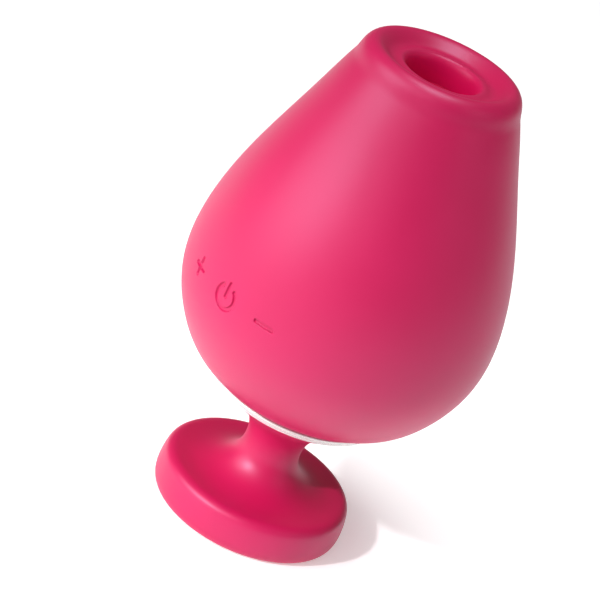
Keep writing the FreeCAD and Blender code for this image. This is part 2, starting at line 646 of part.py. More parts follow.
# ================================================================ CHASSIS, BATTERY, MAIN BOARD
plate_top = P["plate_low_z"] + P["plate_wall"]
plate = rod("chassis_plate", P["plate_r"], P["plate_wall"], 0, 0, P["plate_low_z"])
back = block("chassis_back", P["board_wide"], P["back_wall"], P["board_tall"], -P["board_wide"] / 2,
             -board_y + P["board_wall"], plate_top)
posts = [rod("chassis_post_%d" % a, P["post_r"], P["post_top_z"] - plate_top, *on_circle(P["post_ring_r"], a), plate_top) for a in NECK_ANGLES]
feet = [rod("chassis_standoff_%d" % a, P["standoff_r"], P["main_low_z"] - plate_top, *on_circle(P["standoff_ring_r"], a), plate_top)
        for a in (30.0, 150.0, 270.0)]
pilot_holes = [rod("chassis_pilot_%d" % a, P["pilot_r"], P["drive_screw_len"] + 0.5, *on_circle(P["post_ring_r"], a),
                   P["post_top_z"] - P["drive_screw_len"] - 0.5) for a in NECK_ANGLES]
wire_hole = rod("chassis_wire_hole", 3.0, 6.0, 0, 0, P["plate_low_z"] - 2)
key_notch = block("chassis_key_notch", 34.0, 10.0, 6.0, -17.0, -P["key_in_y"] - 9.2, P["plate_low_z"] - 2)
node("chassis", less("chassis", joined("chassis_blank", plate, back, *posts, *feet), joined("chassis_holes", wire_hole, key_notch, *pilot_holes)))

cell = block("cell_blank", P["cell_x"], P["cell_y"], P["cell_z"], -P["cell_x"] / 2, -P["cell_y"] / 2, P["plate_low_z"] - P["cell_z"])
doc.recompute()
soft = doc.addObject("Part::Fillet", "battery_cell")
soft.Base = cell
soft.Edges = [(i + 1, 2.0, 2.0) for i, e in enumerate(cell.Shape.Edges) if abs(e.BoundBox.XLength - P["cell_x"].value) < 1e-3]
node("battery_cell", soft)

board = rod("main_board_disc", P["main_r"], P["main_wall"], 0, 0, P["main_low_z"])
chip = block("main_chip", 6.0, 6.0, 1.0, -8.0, 1.0, P["main_low_z"] + P["main_wall"])
driver = block("main_driver", 4.0, 5.0, 1.2, 3.0, -6.0, P["main_low_z"] + P["main_wall"])
node("main_board", joined("main_board", board, chip, driver))

# ================================================================ PULSE DRIVE
base_z = P["post_top_z"]
node("drive_housing", less("drive_housing", turned("housing_wall", (P["bush_r"], base_z), [
    ("to", (P["base_r"], base_z)),
    ("to", (P["base_r"], base_z + P["base_wall"])),
    ("to", (P["housing_r"], base_z + P["base_wall"])),
    ("to", (P["housing_r"], P["housing_top_z"])),
    ("to", (P["housing_in_r"], P["housing_top_z"])),
    ("to", (P["housing_in_r"], P["bobbin_low_z"])),
    ("to", (P["housing_step_r"], P["bobbin_low_z"])),
    ("to", (P["housing_step_r"], P["housing_floor_z"])),
    ("to", (P["bush_r"], P["housing_floor_z"])),
    ("to", (P["bush_r"], base_z)),
]), joined("housing_holes", *[rod("housing_hole_%d" % a, P["clear_r"], 4.0, *on_circle(P["post_ring_r"], a), base_z - 1) for a in NECK_ANGLES])))
node("drive_screws", group("drive_screws", *[
    screw("drive_screw_%d" % a, P["drive_screw_len"] + P["base_wall"], *on_circle(P["post_ring_r"], a), base_z + P["base_wall"]) for a in NECK_ANGLES]))
node("rod_bush", turned("rod_bush", *box_path(P["rod_r"] + P["rod_clear"], P["bush_r"], base_z, P["bush_top_z"])))
node("coil_bobbin", turned("coil_bobbin", (P["bobbin_in_r"], P["bobbin_low_z"]), [
    ("to", (P["housing_in_r"], P["bobbin_low_z"])),
    ("to", (P["housing_in_r"], P["bobbin_low_z"] + P["flange_wall"])),
    ("to", (P["bobbin_core_r"], P["bobbin_low_z"] + P["flange_wall"])),
    ("to", (P["bobbin_core_r"], P["bobbin_top_z"] - P["flange_wall"])),
    ("to", (P["housing_in_r"], P["bobbin_top_z"] - P["flange_wall"])),
    ("to", (P["housing_in_r"], P["bobbin_top_z"])),
    ("to", (P["bobbin_in_r"], P["bobbin_top_z"])),
    ("to", (P["bobbin_in_r"], P["bobbin_low_z"])),
]))
node("coil_winding", turned("coil_winding", *box_path(P["bobbin_core_r"], P["winding_r"], P["bobbin_low_z"] + P["flange_wall"], P["bobbin_top_z"] - P["flange_wall"])))
node("end_plate", turned("end_plate", (P["end_plate_hole_r"], P["end_plate_low_z"]), [
    ("to", (P["collar_in_r"], P["end_plate_low_z"])),
    ("to", (P["collar_in_r"], P["bobbin_top_z"])),
    ("to", (P["housing_in_r"], P["bobbin_top_z"])),
    ("to", (P["housing_in_r"], P["housing_top_z"])),
    ("to", (P["collar_in_r"], P["housing_top_z"])),
    ("to", (P["collar_in_r"], P["end_plate_low_z"] + P["end_plate_wall"])),
    ("to", (P["end_plate_hole_r"], P["end_plate_low_z"] + P["end_plate_wall"])),
    ("to", (P["end_plate_hole_r"], P["end_plate_low_z"])),
]))
mag_top = P["magnet_body_low_z"] + P["magnet_body_len"]
node("drive_magnet", turned("drive_magnet", *box_path(P["rod_r"], P["magnet_body_r"], P["magnet_body_low_z"], mag_top)))
pole_low = turned("pole_low", *box_path(P["rod_r"], P["magnet_body_r"], P["magnet_body_low_z"] - P["pole_wall"], P["magnet_body_low_z"]))
pole_top = turned("pole_top", *box_path(P["rod_r"], P["magnet_body_r"], mag_top, mag_top + P["pole_wall"]))
node("pole_caps", group("pole_caps", pole_low, pole_top))
node("drive_rod", turned("drive_rod", (0, P["rod_low_z"]), [
    ("to", (P["rod_r"], P["rod_low_z"])),
    ("to", (P["rod_r"], P["rod_top_z"])),
    ("to", (P["disc_r"], P["rod_top_z"])),
    ("to", (P["disc_r"], P["rod_top_z"] + P["disc_wall"])),
    ("to", (0, P["rod_top_z"] + P["disc_wall"])),
    ("to", (0, P["rod_low_z"])),
]))


def spring(name, z_low, z_top, folds=6):
    """A zigzag bellows that works as a spring between two faces."""
    step = (size(z_top) - z_low) / folds
    line = []
    for i in range(folds + 1):
        r = P["spring_r"] if i % 2 else P["spring_r"] - P["spring_fold"]
        line.append((r, size(z_low) + step * i))
    path = [("to", p) for p in line[1:]]
    path += [("to", (r + P["spring_wall"], z)) for r, z in line[::-1]]
    path.append(("to", line[0]))
    return turned(name, line[0], path)


node("lower_spring", spring("lower_spring", P["housing_floor_z"], P["magnet_body_low_z"] - P["pole_wall"]))
node("upper_spring", spring("upper_spring", mag_top + P["pole_wall"], P["end_plate_low_z"]))

# Soft diaphragm: thick rim, thin film with one fold, and a centre pad on the rod's disc.
film_low = P["rod_top_z"] + P["disc_wall"]
node("diaphragm", turned("diaphragm", (0, film_low), [
    ("to", (P["disc_r"], film_low)),
    ("to", (P["disc_r"] + 1.6, film_low - 0.35)),
    ("to", (P["rim_in_r"] - 2.2, film_low - 0.35)),
    ("to", (P["collar_in_r"] - 0.2, P["housing_top_z"])),
    ("to", (P["rim_r"], P["housing_top_z"])),
    ("to", (P["rim_r"], P["rim_top_z"])),
    ("to", (P["rim_in_r"], P["rim_top_z"])),
    ("to", (P["rim_in_r"] - 2.0, film_low - 0.35 + P["film"])),
    ("to", (P["disc_r"] + 1.8, film_low - 0.35 + P["film"])),
    ("to", (P["disc_r"], film_low + P["film"])),
    ("to", (0, film_low + P["film"])),
    ("to", (0, film_low)),
]))

# ================================================================ NOZZLE CUP AND CLAMP RING
flange_top = P["rim_top_z"] + P["cup_flange_wall"]
node("nozzle_cup", turned("nozzle_cup", (P["cup_low_r"], P["cup_under_z"]), [
    ("to", (P["rim_in_r"] - 0.8, P["cup_under_z"])),
    ("to", (P["rim_in_r"], P["rim_top_z"])),
    ("to", (P["rim_r"], P["rim_top_z"])),
    ("to", (P["rim_r"], flange_top)),
    ("to", (P["cup_out_r"], flange_top)),
    ("to", (P["cup_out_r"], P["cup_top_z"])),
    ("to", (P["cup_top_r"], P["cup_top_z"])),
    ("to", (P["cup_low_r"], P["cup_under_z"] + 1.2)),
    ("to", (P["cup_low_r"], P["cup_under_z"])),
]))
node("clamp_ring", turned("clamp_ring", (P["clamp_in_r"], P["clamp_low_z"]), [
    ("to", (P["clamp_out_r"], P["clamp_low_z"])),
    ("to", (P["clamp_out_r"], P["clamp_top_z"])),
    ("to", (P["cup_out_r"] + 0.1, P["clamp_top_z"])),
    ("to", (P["cup_out_r"] + 0.1, flange_top)),
    ("to", (P["clamp_in_r"], flange_top)),
    ("to", (P["clamp_in_r"], P["clamp_low_z"])),
]))

# ---------------------------------------------------------------- check and write
doc.recompute()
bad = [o.Name for o in doc.Objects if "Invalid" in o.State or "Error" in o.State]
if bad:
    raise RuntimeError("objects in error: %s" % bad)
os.makedirs("parts", exist_ok=True)
for name, obj in NODES.items():
    shape = obj.Shape
    if shape.isNull() or not shape.isValid() or not shape.Solids:
        raise RuntimeError("%s has no valid solid" % name)
for name, obj in NODES.items():
    obj.Shape.exportStep(os.path.join("parts", name + ".step"))
    box = obj.Shape.BoundBox
    print("%-16s %d solid(s) %9.2f mm3  z %.2f to %.2f" % (name, len(obj.Shape.Solids), obj.Shape.Volume, box.ZMin, box.ZMax))
print(len(NODES), "nodes")
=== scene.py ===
import math

import bpy
import numpy as np
from mathutils import Matrix, Vector
from mathutils.geometry import delaunay_2d_cdt


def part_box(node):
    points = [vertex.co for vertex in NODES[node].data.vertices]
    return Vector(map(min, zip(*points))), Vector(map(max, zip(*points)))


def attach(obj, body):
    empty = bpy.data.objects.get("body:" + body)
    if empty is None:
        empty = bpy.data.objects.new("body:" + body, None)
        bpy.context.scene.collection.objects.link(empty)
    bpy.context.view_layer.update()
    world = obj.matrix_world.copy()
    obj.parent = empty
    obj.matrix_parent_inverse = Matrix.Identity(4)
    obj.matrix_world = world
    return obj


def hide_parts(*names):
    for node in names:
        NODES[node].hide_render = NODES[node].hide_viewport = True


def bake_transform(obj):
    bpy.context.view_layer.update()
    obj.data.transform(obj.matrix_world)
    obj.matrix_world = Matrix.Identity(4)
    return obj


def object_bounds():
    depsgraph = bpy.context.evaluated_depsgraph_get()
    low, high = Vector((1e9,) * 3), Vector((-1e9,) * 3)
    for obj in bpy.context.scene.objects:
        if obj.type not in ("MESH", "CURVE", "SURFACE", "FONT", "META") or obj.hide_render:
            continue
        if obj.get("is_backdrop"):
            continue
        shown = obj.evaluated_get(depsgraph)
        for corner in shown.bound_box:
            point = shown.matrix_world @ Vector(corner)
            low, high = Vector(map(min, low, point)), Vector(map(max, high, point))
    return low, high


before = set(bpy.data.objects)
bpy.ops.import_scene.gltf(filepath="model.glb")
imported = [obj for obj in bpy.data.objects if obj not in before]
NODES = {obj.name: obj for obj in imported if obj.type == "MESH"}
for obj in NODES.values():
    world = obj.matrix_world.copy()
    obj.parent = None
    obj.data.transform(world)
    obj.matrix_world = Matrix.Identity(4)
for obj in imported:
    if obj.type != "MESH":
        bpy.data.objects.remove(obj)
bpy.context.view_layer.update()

MM = 0.001

# ------------------------------------------------------------------ profile numbers, millimetres (radius, height)
OUTER = [(18.23, 29.8), (20.01, 30.77), (24.02, 33.24), (28.43, 39.24), (32.2, 48.13),
         (31.57, 60.58), (27.18, 74.69), (21.52, 87.63), (18.51, 95.75), (17.14, 98.8)]
OUTER_KNOTS = [0.0, 0.0791, 0.1713, 0.2899, 0.448, 0.6589, 0.8697, 1.0]
LIP = [(17.14, 98.8), (16.73, 99.72), (16.46, 101.1), (15.88, 102.7), (14.65, 103.82), (13.35, 103.98),
       (11.95, 103.05), (10.75, 101.95), (9.5, 101.85), (8.3, 102.4), (7.45, 101.6), (7.2, 100.3), (7.1, 98.8),
       (7.07, 97.8), (7.06, 97.0)]
SHELL = [(14.84, 29.8), (16.45, 30.75), (21.12, 32.92), (25.86, 38.17), (30.34, 47.12),
         (30.11, 59.47), (25.75, 73.71), (19.83, 87.29), (16.51, 96.25), (14.77, 100.0)]
SHELL_KNOTS = [0.0, 0.0766, 0.166, 0.2809, 0.4342, 0.6385, 0.8428, 1.0]
FOOT = [(18.23, 0.0), (19.08, 0.0), (19.88, 0.75), (20.14, 2.42), (20.09, 4.29), (19.88, 5.97), (19.56, 7.46),
        (18.34, 8.25), (16.54, 8.16), (13.99, 8.16), (11.24, 8.73), (8.8, 9.95), (6.78, 11.97), (5.88, 14.6),
        (5.94, 17.2), (6.47, 19.4), (7.84, 21.6), (10.07, 23.4), (12.61, 24.9), (15.05, 26.5), (17.17, 28.0)]
CORE = [(18.23, 1.12), (18.66, 1.05), (18.91, 3.03), (18.79, 3.97), (18.56, 6.8), (17.69, 7.13), (15.03, 6.98),
        (12.47, 7.22), (9.39, 8.01), (6.35, 10.19), (4.69, 13.5), (4.59, 16.96), (5.25, 19.88), (6.95, 22.51),
        (10.35, 25.12), (13.25, 26.69), (15.04, 28.0)]
CORE_KNOTS = [0.0, 0.0371, 0.099, 0.1485, 0.1782, 0.2228, 0.297, 0.3713, 0.4456, 0.5446, 0.6188, 0.6931,
              0.7673, 0.8416, 1.0]
KEY_Z = 53.4
KEY_ANGLE = math.asin(9.92 / 31.76)


# ------------------------------------------------------------------ curves
def basis(u, t, m, deg):
    b = np.array([(t[i] <= u) & (u < t[i + 1]) for i in range(len(t) - 1)], float)
    b[m - 1, u >= t[-1]] = 1.0
    for d in range(1, deg + 1):
        nb = np.zeros((len(t) - 1 - d, len(u)))
        for i in range(len(nb)):
            lo = t[i + d] - t[i]
            hi = t[i + d + 1] - t[i + 1]
            if lo > 0:
                nb[i] += (u - t[i]) / lo * b[i]
            if hi > 0:
                nb[i] += (t[i + d + 1] - u) / hi * b[i + 1]
        b = nb
    return b[:m]


def spline(poles, knots=None, n=3001):
    """Dense points of a clamped cubic B-spline and their unit tangents."""
    p = np.array(poles, float)
    inner = np.linspace(0, 1, len(p) - 2) if knots is None else np.array(knots, float)
    t = np.concatenate([[0, 0, 0], inner, [1, 1, 1]])
    q = (basis(np.linspace(0, 1, n), t, len(p), 3).T) @ p
    d = np.gradient(q, axis=0)
    d /= np.linalg.norm(d, axis=1)[:, None]
    return q, d


def stations(q, d, step, turn):
    """Indices along a dense curve: no further apart than step or a turn in radians."""
    ds = np.linalg.norm(np.diff(q, axis=0), axis=1)
    ang = np.abs(np.diff(np.unwrap(np.arctan2(d[:, 1], d[:, 0]))))
    s = np.concatenate([[0], np.cumsum(ds / step + ang / turn)])
    n = max(2, int(math.ceil(s[-1])) + 1)
    return np.interp(np.linspace(0, s[-1], n), s, np.arange(len(q)))


def sample(q, d, where):
    i = np.arange(len(q))
    p = np.c_[np.interp(where, i, q[:, 0]), np.interp(where, i, q[:, 1])]
    v = np.c_[np.interp(where, i, d[:, 0]), np.interp(where, i, d[:, 1])]
    v /= np.linalg.norm(v, axis=1)[:, None]
    return [((a[0], a[1]), (b[1], -b[0])) for a, b in zip(p, v)]


def rounded(points, radii, closed=True, arcs=6):
    """A profile walked with its outside on the right: a list of runs, each a list of (point, normal)."""
    n = len(points)
    p = [np.array(x, float) for x in points]
    cut = []
    for i in range(n):
        if not closed and i in (0, n - 1):
            cut.append(None)
            continue
        a, b, c = p[i - 1], p[i], p[(i + 1) % n]
        u, v = b - a, c - b
        lu, lv = np.linalg.norm(u), np.linalg.norm(v)
        u, v = u / lu, v / lv
        phi = math.atan2(u[0] * v[1] - u[1] * v[0], float(u @ v))
        r = radii[i] if isinstance(radii, (list, tuple)) else radii
        if r <= 0 or abs(phi) < 0.02:
            cut.append(None)
            continue
        tl = min(r * math.tan(abs(phi) / 2), 0.48 * lu, 0.48 * lv)
        rr = tl / math.tan(abs(phi) / 2)
        start = b - u * tl
        side = 1 if phi > 0 else -1
        centre = start + np.array([-u[1], u[0]]) * rr * side
        pts = []
        for k in range(arcs + 1):
            w = phi * k / arcs
            cw, sw = math.cos(w), math.sin(w)
            off = start - centre
            q = centre + np.array([cw * off[0] - sw * off[1], sw * off[0] + cw * off[1]])
            tan = np.array([cw * u[0] - sw * u[1], sw * u[0] + cw * u[1]])
            pts.append(((q[0], q[1]), (tan[1], -tan[0])))
        cut.append(pts)
    runs = []
    for i in range(n if closed else n - 1):
        a, b = p[i], p[(i + 1) % n]
        if cut[i]:
            a = np.array(cut[i][-1][0])
        if cut[(i + 1) % n]:
            b = np.array(cut[(i + 1) % n][0][0])
        t = b - a
        if np.linalg.norm(t) > 1e-6:
            t = t / np.linalg.norm(t)
            nn = (t[1], -t[0])
            runs.append([((a[0], a[1]), nn), ((b[0], b[1]), nn)])
        nxt = cut[(i + 1) % n]
        if nxt:
            runs.append(nxt)
    return runs


def line_run(a, b):
    t = np.array(b, float) - np.array(a, float)
    t /= np.linalg.norm(t)
    n = (t[1], -t[0])
    return [((float(a[0]), float(a[1])), n), ((float(b[0]), float(b[1])), n)]


# ------------------------------------------------------------------ mesh making
class Build:
    """Vertices, faces and a normal for each face corner, in millimetres."""

    def __init__(self):
        self.v, self.f, self.n = [], [], []

    def vert(self, p):
        self.v.append(tuple(p))
        return len(self.v) - 1

    def face(self, ids, normals):
        keep = [(i, m) for k, (i, m) in enumerate(zip(ids, normals)) if i != ids[k - 1]]
        if len(keep) >= 3:
            self.f.append([i for i, _ in keep])
            self.n.extend([m for _, m in keep])

    def make(self, name, mat, bevel=None):
        mesh = bpy.data.meshes.new(name)
        mesh.from_pydata([(x * MM, y * MM, z * MM) for x, y, z in self.v], [], self.f)
        mesh.polygons.foreach_set("use_smooth", [True] * len(mesh.polygons))
        mesh.update()
        mesh.normals_split_custom_set([Vector(x).normalized() for x in self.n])
        mesh.materials.append(mat)
        o = bpy.data.objects.new(name, mesh)
        bpy.context.scene.collection.objects.link(o)
        return o


def ring_point(r, z, a, cx=0.0, cy=0.0):
    return (cx + r * math.sin(a), cy - r * math.cos(a), z)


def ring_normal(n, a):
    return (n[0] * math.sin(a), -n[0] * math.cos(a), n[1])


def revolve(b, runs, cols, cx=0.0, cy=0.0, skip=None):
    """Adds a turned surface. Rows that meet share their vertices. skip(run, k, j) leaves a quad out."""
    angles = [2 * math.pi * j / cols for j in range(cols)]
    rows = {}

    def row(p):
        key = (round(p[0], 6), round(p[1], 6))
        if key not in rows:
            if p[0] < 1e-6:
                rows[key] = [b.vert((cx, cy, p[1]))] * cols
            else:
                rows[key] = [b.vert(ring_point(p[0], p[1], a, cx, cy)) for a in angles]
        return rows[key]

    for ri, run in enumerate(runs):
        for k in range(len(run) - 1):
            (p, n), (q, m) = run[k], run[k + 1]
            if abs(p[0] - q[0]) + abs(p[1] - q[1]) < 1e-7:
                continue
            lo, hi = row(p), row(q)
            for j in range(cols):
                if skip and skip(ri, k, j):
                    continue
                j2 = (j + 1) % cols
                a, c = angles[j], angles[j] + 2 * math.pi / cols
                b.face([lo[j], lo[j2], hi[j2], hi[j]],
                       [ring_normal(n, a), ring_normal(n, c), ring_normal(m, c), ring_normal(m, a)])
    return rows


# ------------------------------------------------------------------ materials
def new_material(name):
    m = bpy.data.materials.new(name)
    m.use_nodes = True
    nt = m.node_tree
    return m, nt, nt.nodes["Principled BSDF"]


def noise(nt, coord, scale, detail=4.0, rough=0.5):
    t = nt.nodes.new("ShaderNodeTexNoise")
    t.inputs["Scale"].default_value = scale
    t.inputs["Detail"].default_value = detail
    t.inputs["Roughness"].default_value = rough
    nt.links.new(coord, t.inputs["Vector"])
    return t.outputs["Fac"]


def remap(nt, value, lo, hi, a=0.0, b=1.0):
    r = nt.nodes.new("ShaderNodeMapRange")
    r.inputs["From Min"].default_value = a
    r.inputs["From Max"].default_value = b
    r.inputs["To Min"].default_value = lo
    r.inputs["To Max"].default_value = hi
    nt.links.new(value, r.inputs["Value"])
    return r.outputs["Result"]


def mix_colour(nt, fac, a, b):
    m = nt.nodes.new("ShaderNodeMix")
    m.data_type = "RGBA"
    for key, value in ((6, a), (7, b)):
        if isinstance(value, tuple):
            m.inputs[key].default_value = (*value, 1.0)
        else:
            nt.links.new(value, m.inputs[key])
    nt.links.new(fac, m.inputs[0])
    return m.outputs[2]


def bump(nt, height, strength, distance, chain=None):
    n = nt.nodes.new("ShaderNodeBump")
    n.inputs["Strength"].default_value = strength
    n.inputs["Distance"].default_value = distance
    nt.links.new(height, n.inputs["Height"])
    if chain is not None:
        nt.links.new(chain, n.inputs["Normal"])
    return n.outputs["Normal"]


def object_coord(nt):
    return nt.nodes.new("ShaderNodeTexCoord").outputs["Object"]


def mouth_depth(nt, co):
    """0 on the outside of the skin, 1 down in the throat of the mouth, where the colour is painted lighter to stand in
    for light inside the mouth, the dust specks are left out and the specular is turned down.
    """
    xyz = nt.nodes.new("ShaderNodeSeparateXYZ")
    nt.links.new(co, xyz.inputs[0])
    r2 = nt.nodes.new("ShaderNodeVectorMath")
    r2.operation = "MULTIPLY"
    nt.links.new(co, r2.inputs[0])
    r2.inputs[1].default_value = (1.0, 1.0, 0.0)
    ln = nt.nodes.new("ShaderNodeVectorMath")
    ln.operation = "LENGTH"
    nt.links.new(r2.outputs[0], ln.inputs[0])
    near = remap(nt, ln.outputs["Value"], 1.0, 0.0, 0.0071, 0.0081)
    high = remap(nt, xyz.outputs["Z"], 0.0, 1.0, 0.0880, 0.0885)
    m = nt.nodes.new("ShaderNodeMath")
    m.operation = "MULTIPLY"
    nt.links.new(near, m.inputs[0])
    nt.links.new(high, m.inputs[1])
    return m.outputs[0]


def silicone(name, base, deep, rough, grain=1.0, sheen=0.03, throat_painted_light=1.30):
    """Soft-touch moulded silicone: cloudy colour, fine satin grain, faint flow marks and dust-pale specks, with painted
    light in the throat of the mouth, whose colour is painted lighter than the deep tone.
    """
    m, nt, p = new_material(name)
    co = object_coord(nt)
    cloud = noise(nt, co, 42.0, 3.0, 0.55)
    flow = noise(nt, co, 260.0, 3.0, 0.6)
    grit = noise(nt, co, 5200.0, 2.0, 0.7)
    tone = mix_colour(nt, remap(nt, cloud, 0.0, 1.0, 0.3, 0.7), deep, base)
    speck = mix_colour(nt, remap(nt, grit, 0.0, 0.12, 0.52, 0.75), tone, tuple(min(1.0, x * 1.15 + 0.012) for x in base))
    inside = mouth_depth(nt, co)
    # painted light: down in the throat the deep tone, raised by the throat factor, replaces the clouding and dust
    # specks, painted lighter to stand in for light inside the mouth
    nt.links.new(mix_colour(nt, inside, speck, tuple(min(1.0, x * throat_painted_light) for x in deep)), p.inputs["Base Color"])
    r1 = remap(nt, cloud, rough - 0.025, rough + 0.035, 0.3, 0.7)
    add = nt.nodes.new("ShaderNodeMath")
    add.operation = "ADD"
    nt.links.new(r1, add.inputs[0])
    nt.links.new(remap(nt, grit, -0.03, 0.03, 0.3, 0.7), add.inputs[1])
    nt.links.new(add.outputs[0], p.inputs["Roughness"])
    n1 = bump(nt, flow, 0.10 * grain, 0.00005)
    n2 = bump(nt, grit, 0.16 * grain, 0.000012, n1)
    nt.links.new(n2, p.inputs["Normal"])
    p.inputs["IOR"].default_value = 1.5
    nt.links.new(remap(nt, inside, 0.70, 0.12), p.inputs["Specular IOR Level"])
    p.inputs["Specular Tint"].default_value = (0.62, 0.74, 1.0, 1.0)
    p.inputs["Sheen Weight"].default_value = sheen
    p.inputs["Sheen Roughness"].default_value = 0.4
    p.inputs["Sheen Tint"].default_value = (1.0, 0.55, 0.72, 1.0)
    return m


def moulded(name, base, rough, texture=900.0, strength=0.12, metallic=0.0, vary=0.10, depth=0.00003):
    """Moulded plastic, rubber or cast metal with a spark-eroded texture and uneven gloss."""
    m, nt, p = new_material(name)
    co = object_coord(nt)
    cloud = noise(nt, co, 60.0, 3.0)
    fine = noise(nt, co, texture, 3.0, 0.65)
    dark = tuple(x * (1 - vary) for x in base)
    light = tuple(min(1.0, x * (1 + vary * 0.6) + 0.004) for x in base)
    nt.links.new(mix_colour(nt, remap(nt, cloud, 0.0, 1.0, 0.3, 0.7), dark, light), p.inputs["Base Color"])
    nt.links.new(remap(nt, fine, rough - 0.06, rough + 0.08, 0.3, 0.7), p.inputs["Roughness"])
    nt.links.new(bump(nt, fine, strength, depth), p.inputs["Normal"])
    p.inputs["Metallic"].default_value = metallic
    return m


def brushed(name, base, rough, stretch=(300.0, 300.0, 9000.0), strength=0.08, metallic=1.0):
    """Turned or plated metal: hairlines round the axis, with a clouded polish."""
    m, nt, p = new_material(name)
    co = object_coord(nt)
    mp = nt.nodes.new("ShaderNodeMapping")
    mp.inputs["Scale"].default_value = stretch
    nt.links.new(co, mp.inputs["Vector"])
    lines = noise(nt, mp.outputs["Vector"], 1.0, 3.0, 0.6)
    cloud = noise(nt, co, 90.0, 3.0)
    dark = tuple(x * 0.93 for x in base)
    nt.links.new(mix_colour(nt, remap(nt, cloud, 0.0, 1.0, 0.35, 0.65), dark, base), p.inputs["Base Color"])
    nt.links.new(remap(nt, lines, rough * 0.75, rough * 1.4, 0.3, 0.7), p.inputs["Roughness"])
    nt.links.new(bump(nt, lines, strength, 0.00001), p.inputs["Normal"])
    p.inputs["Metallic"].default_value = metallic
    return m


def wound(name, base):
    """Fine enamelled wire: turns stacked along the axis."""
    m, nt, p = new_material(name)
    co = object_coord(nt)
    w = nt.nodes.new("ShaderNodeTexWave")
    w.wave_type, w.bands_direction = "BANDS", "Z"
    w.inputs["Scale"].default_value = 1150.0
    w.inputs["Distortion"].default_value = 0.8
    nt.links.new(co, w.inputs["Vector"])
    cloud = noise(nt, co, 300.0, 3.0)
    nt.links.new(mix_colour(nt, remap(nt, cloud, 0.0, 1.0, 0.3, 0.7), tuple(x * 0.8 for x in base), base), p.inputs["Base Color"])
    nt.links.new(bump(nt, w.outputs["Fac"], 0.6, 0.00006), p.inputs["Normal"])
    p.inputs["Metallic"].default_value = 0.9
    p.inputs["Roughness"].default_value = 0.32
    return m


SKIN_BASE = (0.565, 0.0038, 0.083)
SKIN_DEEP = (0.530, 0.0030, 0.073)
SKIN = silicone("silicone_skin", SKIN_BASE, SKIN_DEEP, 0.43)
INNER_SKIN = silicone("silicone_inner", (0.56, 0.006, 0.070), (0.50, 0.005, 0.060), 0.46, sheen=0.03)
CHROME = brushed("chrome_trim", (0.84, 0.87, 0.85), 0.26, stretch=(150.0, 150.0, 12000.0), strength=0.03, metallic=0.40)
CAP_PLASTIC = moulded("base_plastic", (0.55, 0.012, 0.075), 0.42, 2600.0, 0.25)
GOLD = brushed("gold_contact", (0.95, 0.68, 0.28), 0.22)
RUBBER = moulded("gasket_rubber", (0.022, 0.022, 0.024), 0.62, 1500.0, 0.2)
PLASTIC = moulded("hard_plastic", (0.60, 0.60, 0.58), 0.45, 1400.0, 0.15)
STEEL = brushed("steel", (0.58, 0.58, 0.60), 0.28)
DARK_STEEL = brushed("plated_steel", (0.36, 0.37, 0.40), 0.34)
MAGNET = brushed("nickel_magnet", (0.66, 0.66, 0.64), 0.18)
BOARD = moulded("circuit_board", (0.015, 0.17, 0.06), 0.35, 2200.0, 0.12)
CELL = moulded("battery_wrap", (0.10, 0.16, 0.42), 0.30, 700.0, 0.08)
COPPER = wound("copper_winding", (0.78, 0.30, 0.12))
BRONZE = brushed("bronze_bush", (0.62, 0.36, 0.16), 0.35)
BALLAST = moulded("cast_ballast", (0.20, 0.20, 0.21), 0.55, 500.0, 0.35, metallic=0.8)
LEAD = moulded("lead_cover", (0.50, 0.03, 0.04), 0.45, 1800.0, 0.1)

LOOK = {
    "foot_core": PLASTIC, "charge_magnets": MAGNET, "foot_ballast": BALLAST,
    "charge_leads": LEAD, "charge_plug": PLASTIC, "neck_gasket": RUBBER, "shell_front": PLASTIC, "shell_rear": PLASTIC,
    "shell_screws": STEEL, "neck_screws": STEEL, "drive_screws": STEEL, "key_plus": PLASTIC, "key_power": PLASTIC,
    "key_minus": PLASTIC, "stem_plus": PLASTIC, "stem_power": PLASTIC, "stem_minus": PLASTIC, "tact_switches": DARK_STEEL,
    "button_board": BOARD, "main_board": BOARD, "chassis": PLASTIC, "battery_cell": CELL, "drive_housing": DARK_STEEL,
    "rod_bush": BRONZE, "coil_bobbin": PLASTIC, "coil_winding": COPPER, "end_plate": DARK_STEEL, "drive_magnet": MAGNET,
    "pole_caps": DARK_STEEL, "drive_rod": STEEL, "clamp_ring": PLASTIC,
}
for word, look in LOOK.items():
    mesh = NODES[word].data
    if not mesh.materials:
        mesh.materials.append(look)
    for i in range(len(mesh.materials)):
        mesh.materials[i] = look

# ------------------------------------------------------------------ bowl skin with its lip
outer_q, outer_d = spline(OUTER, OUTER_KNOTS)
lip_q, lip_d = spline(LIP)
shell_q, shell_d = spline(SHELL, SHELL_KNOTS)
foot_q, foot_d = spline(FOOT)
core_q, core_d = spline(CORE, CORE_KNOTS)

COLS = 288
BAND_LOW, BAND_TOP = 46.6, 60.4
BAND_COLS = 25                      # columns each side of the middle button


def at_height(q, z):
    return float(np.interp(z, q[:, 1], np.arange(len(q))))


def part_of(q, d, i0, i1, step, turn):
    """Samples of the curve between two places on it, ends included."""
    s = stations(q, d, step, turn)
    span = s[(s > i0 + 3) & (s < i1 - 3)]
    return sample(q, d, np.concatenate([[i0], span, [i1]]))


